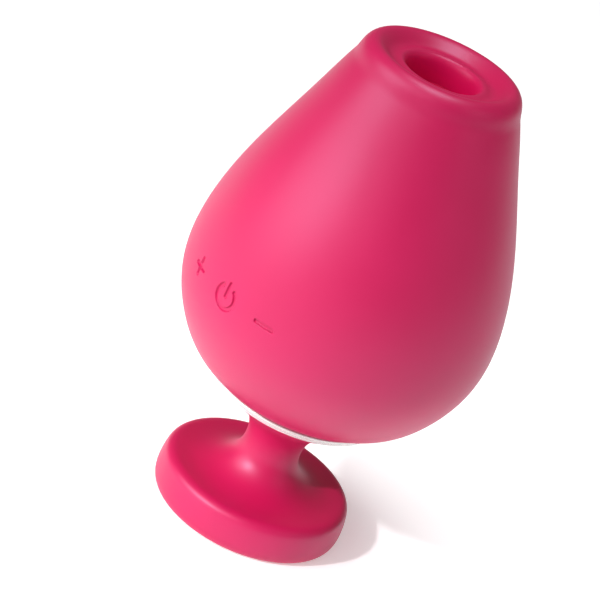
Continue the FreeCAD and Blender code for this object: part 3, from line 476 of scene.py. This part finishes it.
i_low, i_top = at_height(outer_q, BAND_LOW), at_height(outer_q, BAND_TOP)
edge_at = at_height(outer_q, 30.12)
first = sample(outer_q, outer_d, [edge_at])[0]
t0 = np.array([1.0, 0.0])
corner = []
pa, pb, pc = np.array([17.7, 29.8]), np.array([18.23, 29.8]), np.array(first[0])
for k in range(7):
    t = k / 6
    p = (1 - t) ** 2 * pa + 2 * t * (1 - t) * pb + t * t * pc
    v = 2 * (1 - t) * (pb - pa) + 2 * t * (pc - pb)
    v /= np.linalg.norm(v)
    corner.append(((p[0], p[1]), (v[1], -v[0])))
corner[-1] = first
low_run = part_of(outer_q, outer_d, edge_at, i_low, 0.9, math.radians(2.5))
band_run = part_of(outer_q, outer_d, i_low, i_top, 0.7, math.radians(2.5))
top_run = part_of(outer_q, outer_d, i_top, len(outer_q) - 1, 0.8, math.radians(2.5))
lip_run = part_of(lip_q, lip_d, 0, len(lip_q) - 1, 0.30, math.radians(4.0))
lip_run[0] = (top_run[-1][0], lip_run[0][1])

shell_back_q, shell_back_d = shell_q[::-1], -shell_d[::-1]
n_shell = len(shell_q) - 1
z_levels = [p[1] for p, n in band_run]
s_top, s_low = [n_shell - at_height(shell_q, z) for z in (z_levels[-1], z_levels[0])]
in_top = part_of(shell_back_q, shell_back_d, 0, s_top, 1.6, math.radians(5))
in_band = sample(shell_back_q, shell_back_d, [n_shell - at_height(shell_q, z) for z in z_levels[::-1]])
in_low = part_of(shell_back_q, shell_back_d, s_low, n_shell, 1.6, math.radians(5))
in_top[-1] = in_band[0]
in_low[0] = in_band[-1]
runs = [
    corner, low_run, band_run, top_run, lip_run,
    line_run((7.06, 97.0), (9.0, 97.0)), line_run((9.0, 97.0), (9.0, 100.0)), line_run((9.0, 100.0), in_top[0][0]),
    in_top, in_band, in_low,
    line_run(in_low[-1][0], (17.7, 29.8)),
]
runs[4][-1] = ((7.06, 97.0), runs[4][-1][1])
OUT_BAND, IN_BAND = 2, 9


def in_window(j):
    return j < BAND_COLS or j >= COLS - BAND_COLS


skin = Build()
rows = revolve(skin, runs, COLS, skip=lambda ri, k, j: ri in (OUT_BAND, IN_BAND) and in_window(j))

OUT_R = lambda z: np.interp(z, outer_q[:, 1], outer_q[:, 0])
IN_R = lambda z: np.interp(z, shell_q[:, 1], shell_q[:, 0])


def out_normal(z):
    tr, tz = np.interp(z, outer_q[:, 1], outer_d[:, 0]), np.interp(z, outer_q[:, 1], outer_d[:, 1])
    ln = np.hypot(tr, tz)
    return tz / ln, -tr / ln


def in_normal(z):
    tr, tz = np.interp(z, shell_q[:, 1], shell_d[:, 0]), np.interp(z, shell_q[:, 1], shell_d[:, 1])
    ln = np.hypot(tr, tz)
    return -tz / ln, tr / ln


def point(a, z, radius_of=OUT_R):
    r = radius_of(z)
    return np.array([r * np.sin(a), -r * np.cos(a), z + 0 * a])


BIG_R = float(OUT_R(KEY_Z))
LIFT = 0.32
KEYS = [("plus", -KEY_ANGLE), ("power", 0.0), ("minus", KEY_ANGLE)]


def key_frame(a0):
    c = point(a0, KEY_Z)
    nr, nz = out_normal(KEY_Z)
    return c, np.array([nr * math.sin(a0), -nr * math.cos(a0), nz])


def depth_of(a0, u, v):
    c, n = key_frame(a0)
    p = point(a0 + u / BIG_R, KEY_Z + v)
    return float((c - p) @ n)


def loop_of(a0, count=84, lift=LIFT):
    pts = []
    for k in range(count):
        w = 2 * math.pi * k / count
        lo, hi = 0.0, 9.0
        for _ in range(50):
            mid = (lo + hi) / 2
            if depth_of(a0, mid * math.cos(w), mid * math.sin(w)) < lift:
                lo = mid
            else:
                hi = mid
        pts.append((lo * math.cos(w), lo * math.sin(w)))
    return pts


LOOPS = {name: loop_of(a0) for name, a0 in KEYS}

# The window round the buttons: grid points, the three loops and a ring of points outside each, joined by triangles.
tags, flat, fixed = [], [], []
cols_in = [j - COLS if j > COLS // 2 else j for j in range(COLS) if in_window(j)] + [BAND_COLS]
cols_in = sorted(set(cols_in))
nrow = len(band_run)
grid_id = {}
for i in range(nrow):
    z = z_levels[i]
    for j in cols_in:
        a = 2 * math.pi * j / COLS
        border = i in (0, nrow - 1) or j in (cols_in[0], cols_in[-1])
        if not border and any(depth_of(a0, (a - a0) * BIG_R, z - KEY_Z) < LIFT * 1.32 for _, a0 in KEYS if abs(a - a0) * BIG_R < 8):
            continue
        grid_id[(i, j)] = len(flat)
        tags.append(("g", i, j % COLS))
        flat.append((a * BIG_R, z))
edge_ids = ([grid_id[(0, j)] for j in cols_in] + [grid_id[(i, cols_in[-1])] for i in range(1, nrow)]
            + [grid_id[(nrow - 1, j)] for j in cols_in[::-1][1:]] + [grid_id[(i, cols_in[0])] for i in range(nrow - 2, 0, -1)])
fixed += [(edge_ids[k], edge_ids[(k + 1) % len(edge_ids)]) for k in range(len(edge_ids))]
loop_ids = {}
for name, a0 in KEYS:
    ids = []
    for u, v in LOOPS[name]:
        ids.append(len(flat))
        tags.append(("h", name, len(ids) - 1))
        flat.append((a0 * BIG_R + u, KEY_Z + v))
    loop_ids[name] = ids
    fixed += [(ids[k], ids[(k + 1) % len(ids)]) for k in range(len(ids))]
    for u, v in LOOPS[name][::2]:
        flat.append((a0 * BIG_R + u * 1.075, KEY_Z + v * 1.075))
        tags.append(("r", 0, 0))


def triangulate(points, edges):
    v, e, f, ov, oe, of_ = delaunay_2d_cdt([Vector(p) for p in points], edges, [], 0, 1e-7)
    out = []
    for tri in f:
        ids = [ov[i][0] if ov[i] else None for i in tri]
        if None in ids or len(set(ids)) < 3:
            continue
        (x0, y0), (x1, y1), (x2, y2) = [points[i] for i in ids]
        area = (x1 - x0) * (y2 - y0) - (x2 - x0) * (y1 - y0)
        if abs(area) < 1e-9:
            continue
        out.append(ids if area > 0 else ids[::-1])
    return out


tris = triangulate(flat, fixed)
in_row_key = {i: (round(in_band[nrow - 1 - i][0][0], 6), round(in_band[nrow - 1 - i][0][1], 6)) for i in range(nrow)}
out_row_key = {i: (round(band_run[i][0][0], 6), round(band_run[i][0][1], 6)) for i in range(nrow)}
out_v, in_v, extra_rows = {}, {}, {}


def grid_vertex(kind, i, j):
    key = (out_row_key if kind == "out" else in_row_key)[i]
    if key in rows:
        return rows[key][j]
    spot = (kind, i, j)
    if spot not in extra_rows:
        extra_rows[spot] = skin.vert(ring_point(key[0], key[1], 2 * math.pi * j / COLS))
    return extra_rows[spot]


used = set()
keep_tris = []
for t in tris:
    cx = sum(flat[i][0] for i in t) / 3
    cz = sum(flat[i][1] for i in t) / 3
    if any(depth_of(a0, cx - a0 * BIG_R, cz - KEY_Z) < LIFT * 0.999 and all(tags[i][0] == "h" and tags[i][1] == name for i in t)
           for name, a0 in KEYS if abs(cx - a0 * BIG_R) < 8):
        continue
    keep_tris.append(t)
    used.update(t)
for i in sorted(used):
    kind = tags[i]
    a, z = flat[i][0] / BIG_R, flat[i][1]
    if kind[0] == "g":
        out_v[i] = grid_vertex("out", kind[1], kind[2])
        in_v[i] = grid_vertex("in", kind[1], kind[2])
    else:
        out_v[i] = skin.vert(point(a, z))
        in_v[i] = skin.vert(point(a, z, IN_R))


def loop_normal(i, fn):
    a, z = flat[i][0] / BIG_R, flat[i][1]
    nr, nz = fn(z)
    return (nr * math.sin(a), -nr * math.cos(a), nz)


for t in keep_tris:
    skin.face([out_v[i] for i in t], [loop_normal(i, out_normal) for i in t])
    r = t[::-1]
    skin.face([in_v[i] for i in r], [loop_normal(i, in_normal) for i in r])
for name, a0 in KEYS:
    ids = loop_ids[name]
    for k in range(len(ids)):
        p, q = ids[k], ids[(k + 1) % len(ids)]
        quad = [out_v[p], in_v[p], in_v[q], out_v[q]]
        a, b2, c = [np.array(skin.v[i]) for i in quad[:3]]
        n = np.cross(b2 - a, c - b2)
        skin.face(quad[::-1], [tuple(-n)] * 4)

bowl = skin.make("skin_bowl", SKIN)
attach(bowl, "root")
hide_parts("bowl_skin", "mouth_lip")


# ------------------------------------------------------------------ icons and the skin patches over the keys
def capsule_sdf(p, a, b, r):
    a, b = np.array(a), np.array(b)
    ab = b - a
    t = np.clip(((p - a) @ ab) / (ab @ ab), 0, 1)
    return np.linalg.norm(p - (a + t[:, None] * ab), axis=1) - r


def capsule_line(a, b, r, step):
    a, b = np.array(a, float), np.array(b, float)
    d = (b - a) / np.linalg.norm(b - a)
    n = np.array([-d[1], d[0]])
    out = []
    m = max(1, int(np.linalg.norm(b - a) / step))
    for k in range(m + 1):
        p = a + (b - a) * k / m
        if r < 0.03:
            out.append(p)
        else:
            out += [p + n * r, p - n * r]
    if r >= 0.03:
        m = max(4, int(math.pi * r / step))
        for k in range(1, m):
            w = math.pi * k / m
            out += [b + r * (n * math.cos(w) + d * math.sin(w)), a + r * (n * math.cos(w) - d * math.sin(w))]
    return out


def arc_sdf(p, c, rad, gap, r):
    q = p - np.array(c)
    ang = np.abs(np.arctan2(q[:, 0], q[:, 1]))          # zero at the top
    ring = np.abs(np.linalg.norm(q, axis=1) - rad) - r
    ends = np.minimum(np.linalg.norm(q - rad * np.array([math.sin(gap), math.cos(gap)]), axis=1),
                      np.linalg.norm(q - rad * np.array([-math.sin(gap), math.cos(gap)]), axis=1)) - r
    return np.where(ang > gap, ring, ends)


def arc_line(c, rad, gap, r, step):
    out = []
    c = np.array(c, float)
    for rr in ({rad + r, rad - r} if r >= 0.03 else {rad}):
        m = int((2 * math.pi - 2 * gap) * rr / step)
        for k in range(m + 1):
            w = gap + (2 * math.pi - 2 * gap) * k / m
            out.append(c + rr * np.array([math.sin(w), math.cos(w)]))
    if r >= 0.03:
        m = max(4, int(math.pi * r / step))
        for s in (1, -1):
            end = c + rad * np.array([s * math.sin(gap), math.cos(gap)])
            along = np.array([-s * math.cos(gap), math.sin(gap)])
            across = np.array([s * math.sin(gap), math.cos(gap)])
            for k in range(1, m):
                w = math.pi * k / m
                out.append(end + r * (across * math.cos(w) + along * math.sin(w)))
    return out


HALF = 0.40
ICONS = {
    "plus": [("line", (-1.65, 0.0), (1.65, 0.0)), ("line", (0.0, -1.65), (0.0, 1.65))],
    "power": [("arc", (0.0, -0.15), 2.40, math.radians(41)), ("line", (0.0, -0.12), (0.0, 2.62))],
    "minus": [("line", (-1.82, 0.0), (1.82, 0.0))],
}


def icon_sdf(name, p):
    d = []
    for s in ICONS[name]:
        if s[0] == "line":
            d.append(capsule_sdf(p, s[1], s[2], HALF))
        else:
            d.append(arc_sdf(p, s[1], s[2], s[3], HALF))
    return np.min(d, axis=0)


def icon_points(name, level, step):
    out = []
    for s in ICONS[name]:
        r = HALF + level
        out += capsule_line(s[1], s[2], r, step) if s[0] == "line" else arc_line(s[1], s[2], s[3], r, step)
    p = np.array(out)
    return p[np.abs(icon_sdf(name, p) - level) < 2e-3]


DEPTH, SOFT = 0.42, 0.14


def sink(name, p):
    t = np.clip((SOFT - icon_sdf(name, p)) / (2 * SOFT), 0, 1)
    return -DEPTH * t * t * (3 - 2 * t)


def patch_surface(name, a0, p, lift=None):
    a, z = a0 + p[:, 0] / BIG_R, KEY_Z + p[:, 1]
    r = OUT_R(z)
    nr, nz = out_normal(z)
    h = sink(name, p)
    rr, zz = r + nr * h, z + nz * h
    return np.c_[rr * np.sin(a), -rr * np.cos(a), zz]


def patch_normals(name, a0, p):
    e = 0.004
    du = patch_surface(name, a0, p + [e, 0]) - patch_surface(name, a0, p - [e, 0])
    dv = patch_surface(name, a0, p + [0, e]) - patch_surface(name, a0, p - [0, e])
    n = np.cross(du, dv)
    return n / np.linalg.norm(n, axis=1)[:, None]


CALM = 0.19


def inside_split(split, q):
    k = int((math.atan2(q[1], q[0]) % (2 * math.pi)) / (2 * math.pi / len(split))) % len(split)
    (x0, y0), (x1, y1) = split[k], split[(k + 1) % len(split)]
    return (x1 - x0) * (q[1] - y0) - (y1 - y0) * (q[0] - x0) > 0


for name, a0 in KEYS:
    loop = LOOPS[name]
    split = [np.array(x, float) for x in loop_of(a0, lift=CALM)]
    rings = len(loop) + len(split)
    pts = [np.array(loop), np.array(split)]
    for level in (-HALF, -0.20, -0.13, -0.065, 0.0, 0.065, 0.13, 0.20, 0.34):
        found = icon_points(name, level, 0.085 if abs(level) < 0.25 else 0.16)
        if len(found):
            pts.append(found)
    scale = 0.40
    grid = np.array([(x * scale + (y % 2) * scale / 2, y * scale * 0.866) for x in range(-13, 14) for y in range(-18, 19)])
    room = np.array([depth_of(a0, u, v) for u, v in grid])
    grid = grid[(room < LIFT * 0.86) & (abs(room - CALM) > 0.014) & (icon_sdf(name, grid) > 0.5)]
    pts.append(grid)
    inner_loop = np.array(loop) * 0.955
    pts.append(inner_loop[::2])
    p = np.concatenate(pts)
    keep, seen = [], set()
    for i, (u, v) in enumerate(p):
        key = (round(u / 0.03), round(v / 0.03))
        if i >= rings and key in seen:
            continue
        seen.add(key)
        keep.append(i)
    p = p[keep]
    outer = [(k, (k + 1) % len(loop)) for k in range(len(loop))]
    middle = [(len(loop) + k, len(loop) + (k + 1) % len(split)) for k in range(len(split))]
    faces = triangulate([tuple(x) for x in p], outer + middle)
    top = patch_surface(name, a0, p)
    tn = patch_normals(name, a0, p)
    a, z = a0 + p[:, 0] / BIG_R, KEY_Z + p[:, 1]
    disc_side = [inside_split(split, (p[t[0]] + p[t[1]] + p[t[2]]) / 3) for t in faces]
    c, n = key_frame(a0)
    for part, shrink in (("patch", 0.97), ("collar", 1.0)):
        q = p * shrink
        a, z = a0 + q[:, 0] / BIG_R, KEY_Z + q[:, 1]
        r_in = IN_R(z)
        low = np.c_[r_in * np.sin(a), -r_in * np.cos(a), z]
        nr, nz = in_normal(z)
        ln = np.c_[nr * np.sin(a), -nr * np.cos(a), nz]
        mine = [t for t, d in zip(faces, disc_side) if d == (part == "patch")]
        ids = sorted({i for t in mine for i in t})
        b = Build()
        tv = {i: b.vert(top[i]) for i in ids}
        lv = {i: b.vert(low[i]) for i in ids}
        for t in mine:
            b.face([tv[i] for i in t], [tuple(tn[i]) for i in t])
            b.face([lv[i] for i in t[::-1]], [tuple(ln[i]) for i in t[::-1]])
        walls = middle if part == "patch" else outer + [(k2, k) for k, k2 in middle]
        for k, k2 in walls:
            quad = [tv[k], lv[k], lv[k2], tv[k2]]
            x0, x1, x2 = [np.array(b.v[i]) for i in quad[:3]]
            b.face(quad, [tuple(np.cross(x1 - x0, x2 - x1))] * 4)
        piece = b.make("skin_%s_%s" % (part, name), SKIN)
        if part == "patch":
            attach(piece, "button_" + name)
            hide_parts("pad_" + name)
        else:
            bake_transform(piece)

# ------------------------------------------------------------------ foot skin
core_back_q, core_back_d = core_q[::-1], -core_d[::-1]
foot_run = part_of(foot_q, foot_d, 0, len(foot_q) - 1, 0.45, math.radians(2.5))
core_run = part_of(core_back_q, core_back_d, 0, len(core_back_q) - 1, 1.2, math.radians(6))
lip_low = rounded([(18.23, 1.12), (16.3, 1.12), (16.3, 0.0), (18.23, 0.0)], [0, 0.25, 0.35, 0], closed=False)
b = Build()
revolve(b, [foot_run, line_run(foot_run[-1][0], core_run[0][0]), core_run] + lip_low, 240)
foot = b.make("skin_foot", SKIN)
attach(foot, "root")
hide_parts("foot_skin")

# ------------------------------------------------------------------ trim ring
b = Build()
revolve(b, rounded([(10.1, 28.02), (17.35, 28.0), (17.66, 28.14), (18.38, 29.34), (18.34, 29.55), (18.12, 29.68), (15.3, 29.68),
                    (15.2, 29.4), (10.1, 29.4)],
                   [0.1, 0.12, 0.18, 0.12, 0.08, 0.06, 0.05, 0.05, 0.1], arcs=5), 288)
ring = b.make("trim_band", CHROME)
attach(ring, "root")
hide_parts("trim_ring")

# ------------------------------------------------------------------ nozzle cup seen down the mouth
b = Build()
revolve(b, rounded([(4.6, 89.0), (9.6, 89.0), (10.4, 88.0), (12.9, 88.0), (12.9, 89.6), (9.0, 89.6), (9.0, 96.98),
                    (7.10, 96.98), (6.95, 96.6), (6.55, 95.5), (4.75, 90.5), (4.6, 90.0)],
                   [0.25, 0.2, 0.1, 0.2, 0.3, 0.3, 0.2, 0.2, 0.3, 0.5, 0.5, 0.4]), 192)
cup = b.make("nozzle_funnel", INNER_SKIN)
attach(cup, "root")
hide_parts("nozzle_cup")

# Diaphragm: a clamped rim, a pad on the rod, and a thin cone between them.
b = Build()
revolve(b, rounded([(10.45, 86.8), (12.85, 86.8), (12.85, 88.0), (10.45, 88.0)], 0.2), 160)
rim = b.make("diaphragm_rim", INNER_SKIN)
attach(rim, "root")
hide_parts("diaphragm")
b = Build()
revolve(b, rounded([(0.0, 87.0), (3.66, 87.0), (3.66, 86.3), (5.3, 86.3), (5.3, 87.0), (4.7, 87.45), (3.4, 87.45),
                    (3.1, 87.28), (1.2, 87.28), (0.9, 87.5), (0.0, 87.55)],
                   [0, 0.1, 0.1, 0.2, 0.3, 0.25, 0.15, 0.15, 0.15, 0.2, 0], closed=False), 160)
pad = b.make("diaphragm_pad", INNER_SKIN)
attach(pad, "plunger")
b = Build()
revolve(b, rounded([(5.1, 86.36), (5.6, 86.38), (7.9, 86.95), (9.7, 87.66), (10.5, 87.74), (10.5, 87.98), (9.6, 87.96),
                    (7.8, 87.25), (5.5, 86.68), (5.1, 86.62)], [0.05, 0.6, 1.0, 0.8, 0.05, 0.05, 0.8, 1.0, 0.6, 0.05]), 160)
film = b.make("diaphragm_film", INNER_SKIN)
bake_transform(film)


def bellows(z_low, z_top, folds=6, r=4.6, fold=1.0, wall=0.7):
    line = [(r if i % 2 else r - fold, z_low + (z_top - z_low) * i / folds) for i in range(folds + 1)]
    out = [(x + wall, z) for x, z in line]
    pts = out + line[::-1]
    return rounded(pts, [0.05] + [0.22] * (folds - 1) + [0.05, 0.05] + [0.22] * (folds - 1) + [0.05])


for name, z0, z1, start, end in (("lower_spring", 64.4, 68.8, 64.4, 68.8), ("upper_spring", 79.2, 83.2, 83.2, 79.2)):
    b = Build()
    revolve(b, bellows(z0, z1), 96)
    spring = b.make(name + "_bellows", RUBBER)
    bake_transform(spring)
    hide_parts(name)

# ------------------------------------------------------------------ base cap and charging contacts
lo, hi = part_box("charge_contacts")
CONTACT_X = (hi[0] / MM + -lo[0] / MM) / 2 - (hi[1] - lo[1]) / MM / 2
CONTACT_R = (hi[1] - lo[1]) / MM / 2
cap_lo, cap_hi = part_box("base_cap")
CAP_R = cap_hi[0] / MM


def disc_with_wells(name, mat):
    """A flat cap whose under side has a raised rim, a groove and two round wells, closed on top."""
    b = Build()
    zl, zt = 0.30, 1.90
    cols = 192
    flat_r = 13.2
    outer = rounded([(flat_r, zl + 0.22), (13.6, zl + 0.22), (13.75, zl), (15.75, zl), (CAP_R, zl + 0.3), (CAP_R, zt), (CAP_R - 0.6, zt)],
                    [0, 0.12, 0.12, 0.2, 0.2, 0.15, 0], closed=False)
    rows = revolve(b, outer, cols)
    first = rows[(round(flat_r, 6), round(zl + 0.22, 6))]
    last = rows[(round(CAP_R - 0.6, 6), round(zt, 6))]
    pts, ids, fixed = [], [], []
    for j in range(cols):
        a = 2 * math.pi * j / cols
        pts.append((flat_r * math.sin(a), -flat_r * math.cos(a)))
        fixed.append((j, (j + 1) % cols))
    wells = []
    for s in (-1, 1):
        ring0 = []
        for k in range(48):
            w = 2 * math.pi * k / 48
            ring0.append(len(pts))
            pts.append((s * CONTACT_X + (CONTACT_R + 0.45) * math.cos(w), (CONTACT_R + 0.45) * math.sin(w)))
        fixed += [(ring0[k], ring0[(k + 1) % 48]) for k in range(48)]
        wells.append((s, ring0))
    for x in range(-12, 13):
        for y in range(-12, 13):
            if math.hypot(x, y) < 12.6 and min(math.hypot(x - s * CONTACT_X, y) for s in (-1, 1)) > CONTACT_R + 1.0:
                pts.append((float(x), float(y)))
    tri = triangulate(pts, fixed)
    base_z = zl + 0.22
    vid = {}
    for i, (x, y) in enumerate(pts):
        vid[i] = first[i] if i < cols else b.vert((x, y, base_z))
    for t in tri:
        cx, cy = sum(pts[i][0] for i in t) / 3, sum(pts[i][1] for i in t) / 3
        if min(math.hypot(cx - s * CONTACT_X, cy) for s in (-1, 1)) < CONTACT_R + 0.43:
            continue
        b.face([vid[i] for i in t[::-1]], [(0, 0, -1)] * 3)
    tops = []
    for s, ring0 in wells:
        prev = [vid[i] for i in ring0]
        steps = [(CONTACT_R + 0.30, base_z + 0.10), (CONTACT_R + 0.05, base_z + 0.30), (CONTACT_R + 0.02, base_z + 0.5), (CONTACT_R + 0.02, zt)]
        pr = CONTACT_R + 0.45
        pz = base_z
        for r, z in steps:
            cur = [b.vert((s * CONTACT_X + r * math.cos(2 * math.pi * k / 48), r * math.sin(2 * math.pi * k / 48), z)) for k in range(48)]
            dr, dz = r - pr, z - pz
            ln = math.hypot(dr, dz)
            for k in range(48):
                k2 = (k + 1) % 48
                w, w2 = 2 * math.pi * k / 48, 2 * math.pi * (k + 1) / 48
                m = lambda q: (-dz / ln * math.cos(q), -dz / ln * math.sin(q), dr / ln)
                b.face([prev[k], cur[k], cur[k2], prev[k2]][::-1], [m(w2), m(w2), m(w), m(w)])
            prev, pr, pz = cur, r, z
        tops.append((s, prev))
    pts2, fixed2 = [], []
    ids2 = []
    for j in range(cols):
        a = 2 * math.pi * j / cols
        pts2.append(((CAP_R - 0.6) * math.sin(a), -(CAP_R - 0.6) * math.cos(a)))
        ids2.append(last[j])
        fixed2.append((j, (j + 1) % cols))
    for s, ring1 in tops:
        start = len(pts2)
        for k in range(48):
            w = 2 * math.pi * k / 48
            pts2.append((s * CONTACT_X + (CONTACT_R + 0.02) * math.cos(w), (CONTACT_R + 0.02) * math.sin(w)))
            ids2.append(ring1[k])
        fixed2 += [(start + k, start + (k + 1) % 48) for k in range(48)]
    for t in triangulate(pts2, fixed2):
        cx, cy = sum(pts2[i][0] for i in t) / 3, sum(pts2[i][1] for i in t) / 3
        if min(math.hypot(cx - s * CONTACT_X, cy) for s in (-1, 1)) < CONTACT_R:
            continue
        b.face([ids2[i] for i in t], [(0, 0, 1)] * 3)
    return b.make(name, mat)


cap = disc_with_wells("base_plate", CAP_PLASTIC)
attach(cap, "root")
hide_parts("base_cap")

b = Build()
for s in (-1, 1):
    revolve(b, rounded([(0.0, 0.25), (CONTACT_R * 0.35, 0.26), (CONTACT_R * 0.8, 0.34), (CONTACT_R, 0.62), (CONTACT_R, 2.98), (0.0, 2.98)],
                       [0, 0.5, 0.4, 0.3, 0.1, 0], closed=False), 48, cx=s * CONTACT_X)
pins = b.make("contact_pins", GOLD)
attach(pins, "root")
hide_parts("charge_contacts")

# ------------------------------------------------------------------ camera, floor, light
cam_data = bpy.data.cameras.new("camera")
cam = bpy.data.objects.new("camera", cam_data)
bpy.context.scene.collection.objects.link(cam)
cam_data.sensor_width = 36.0
cam_data.lens = 154.623
cam_data.clip_start, cam_data.clip_end = 0.01, 20.0
M = Matrix(((0.601056, -0.568386, 0.561844), (0.707704, 0.051890, -0.704601), (0.371331, 0.821124, 0.433438)))
cam.matrix_world = Matrix.Translation((0.277636, -0.359219, 0.265409)) @ M.to_4x4()
bpy.context.scene.camera = cam
RIGHT, UP, BACK = [Vector((M[0][i], M[1][i], M[2][i])) for i in range(3)]

floor_mat, nt, p = new_material("pale_floor")
co = object_coord(nt)
p.inputs["Roughness"].default_value = 0.9
p.inputs["Specular IOR Level"].default_value = 0.1
nt.links.new(mix_colour(nt, noise(nt, co, 6.0, 2.0), (0.93, 0.93, 0.93), (0.95, 0.95, 0.95)), p.inputs["Base Color"])
p.inputs["Emission Color"].default_value = (1.0, 1.0, 1.0, 1.0)
p.inputs["Emission Strength"].default_value = 0.35
mesh = bpy.data.meshes.new("floor")
S = 6.0
mesh.from_pydata([(-S, -S, -0.00002), (S, -S, -0.00002), (S, S, -0.00002), (-S, S, -0.00002)], [], [(0, 1, 2, 3)])
mesh.materials.append(floor_mat)
floor = bpy.data.objects.new("floor", mesh)
bpy.context.scene.collection.objects.link(floor)
floor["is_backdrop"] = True

world = bpy.data.worlds.new("soft_sky")
bpy.context.scene.world = world
world.use_nodes = True
world.node_tree.nodes["Background"].inputs["Color"].default_value = (1.0, 1.0, 1.0, 1.0)
world.node_tree.nodes["Background"].inputs["Strength"].default_value = 0.16
bpy.context.scene.view_settings.view_transform = "Standard"

AIM = Vector((0, 0, 0.055))


def area(name, direction, distance, size, watts, colour=(1.0, 1.0, 1.0)):
    d = Vector(direction).normalized()
    light = bpy.data.lights.new(name, "AREA")
    light.shape, light.size, light.energy, light.color = "DISK", size, watts, colour
    o = bpy.data.objects.new(name, light)
    bpy.context.scene.collection.objects.link(o)
    o.location = AIM + d * distance
    o.rotation_mode = "QUATERNION"
    o.rotation_quaternion = d.to_track_quat("Z", "Y")
    return o


def toward(right, up, back):
    return RIGHT * right + UP * up + BACK * back


area("key", toward(-0.64, 0.556, 0.53), 1.2, 0.95, 8.1)
area("side", toward(0.866, 0.0, 0.5), 1.2, 0.8, 0.8)
area("front", toward(-0.17, 0.30, 0.94), 1.2, 0.8, 2.0)
area("top", toward(0.33, 0.80, 0.50), 1.2, 0.6, 7.7)

snoot = bpy.data.lights.new("foot_snoot", "SPOT")
snoot.energy, snoot.spot_size, snoot.spot_blend, snoot.shadow_soft_size = 150.0, math.radians(4.2), 1.0, 0.06
snoot_at = bpy.data.objects.new("foot_snoot", snoot)
bpy.context.scene.collection.objects.link(snoot_at)
d = toward(-0.46, 0.44, 0.77).normalized()
snoot_at.location = Vector((-0.006, -0.006, 0.0)) + d
snoot_at.rotation_mode = "QUATERNION"
snoot_at.rotation_quaternion = d.to_track_quat("Z", "Y")

low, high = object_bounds()
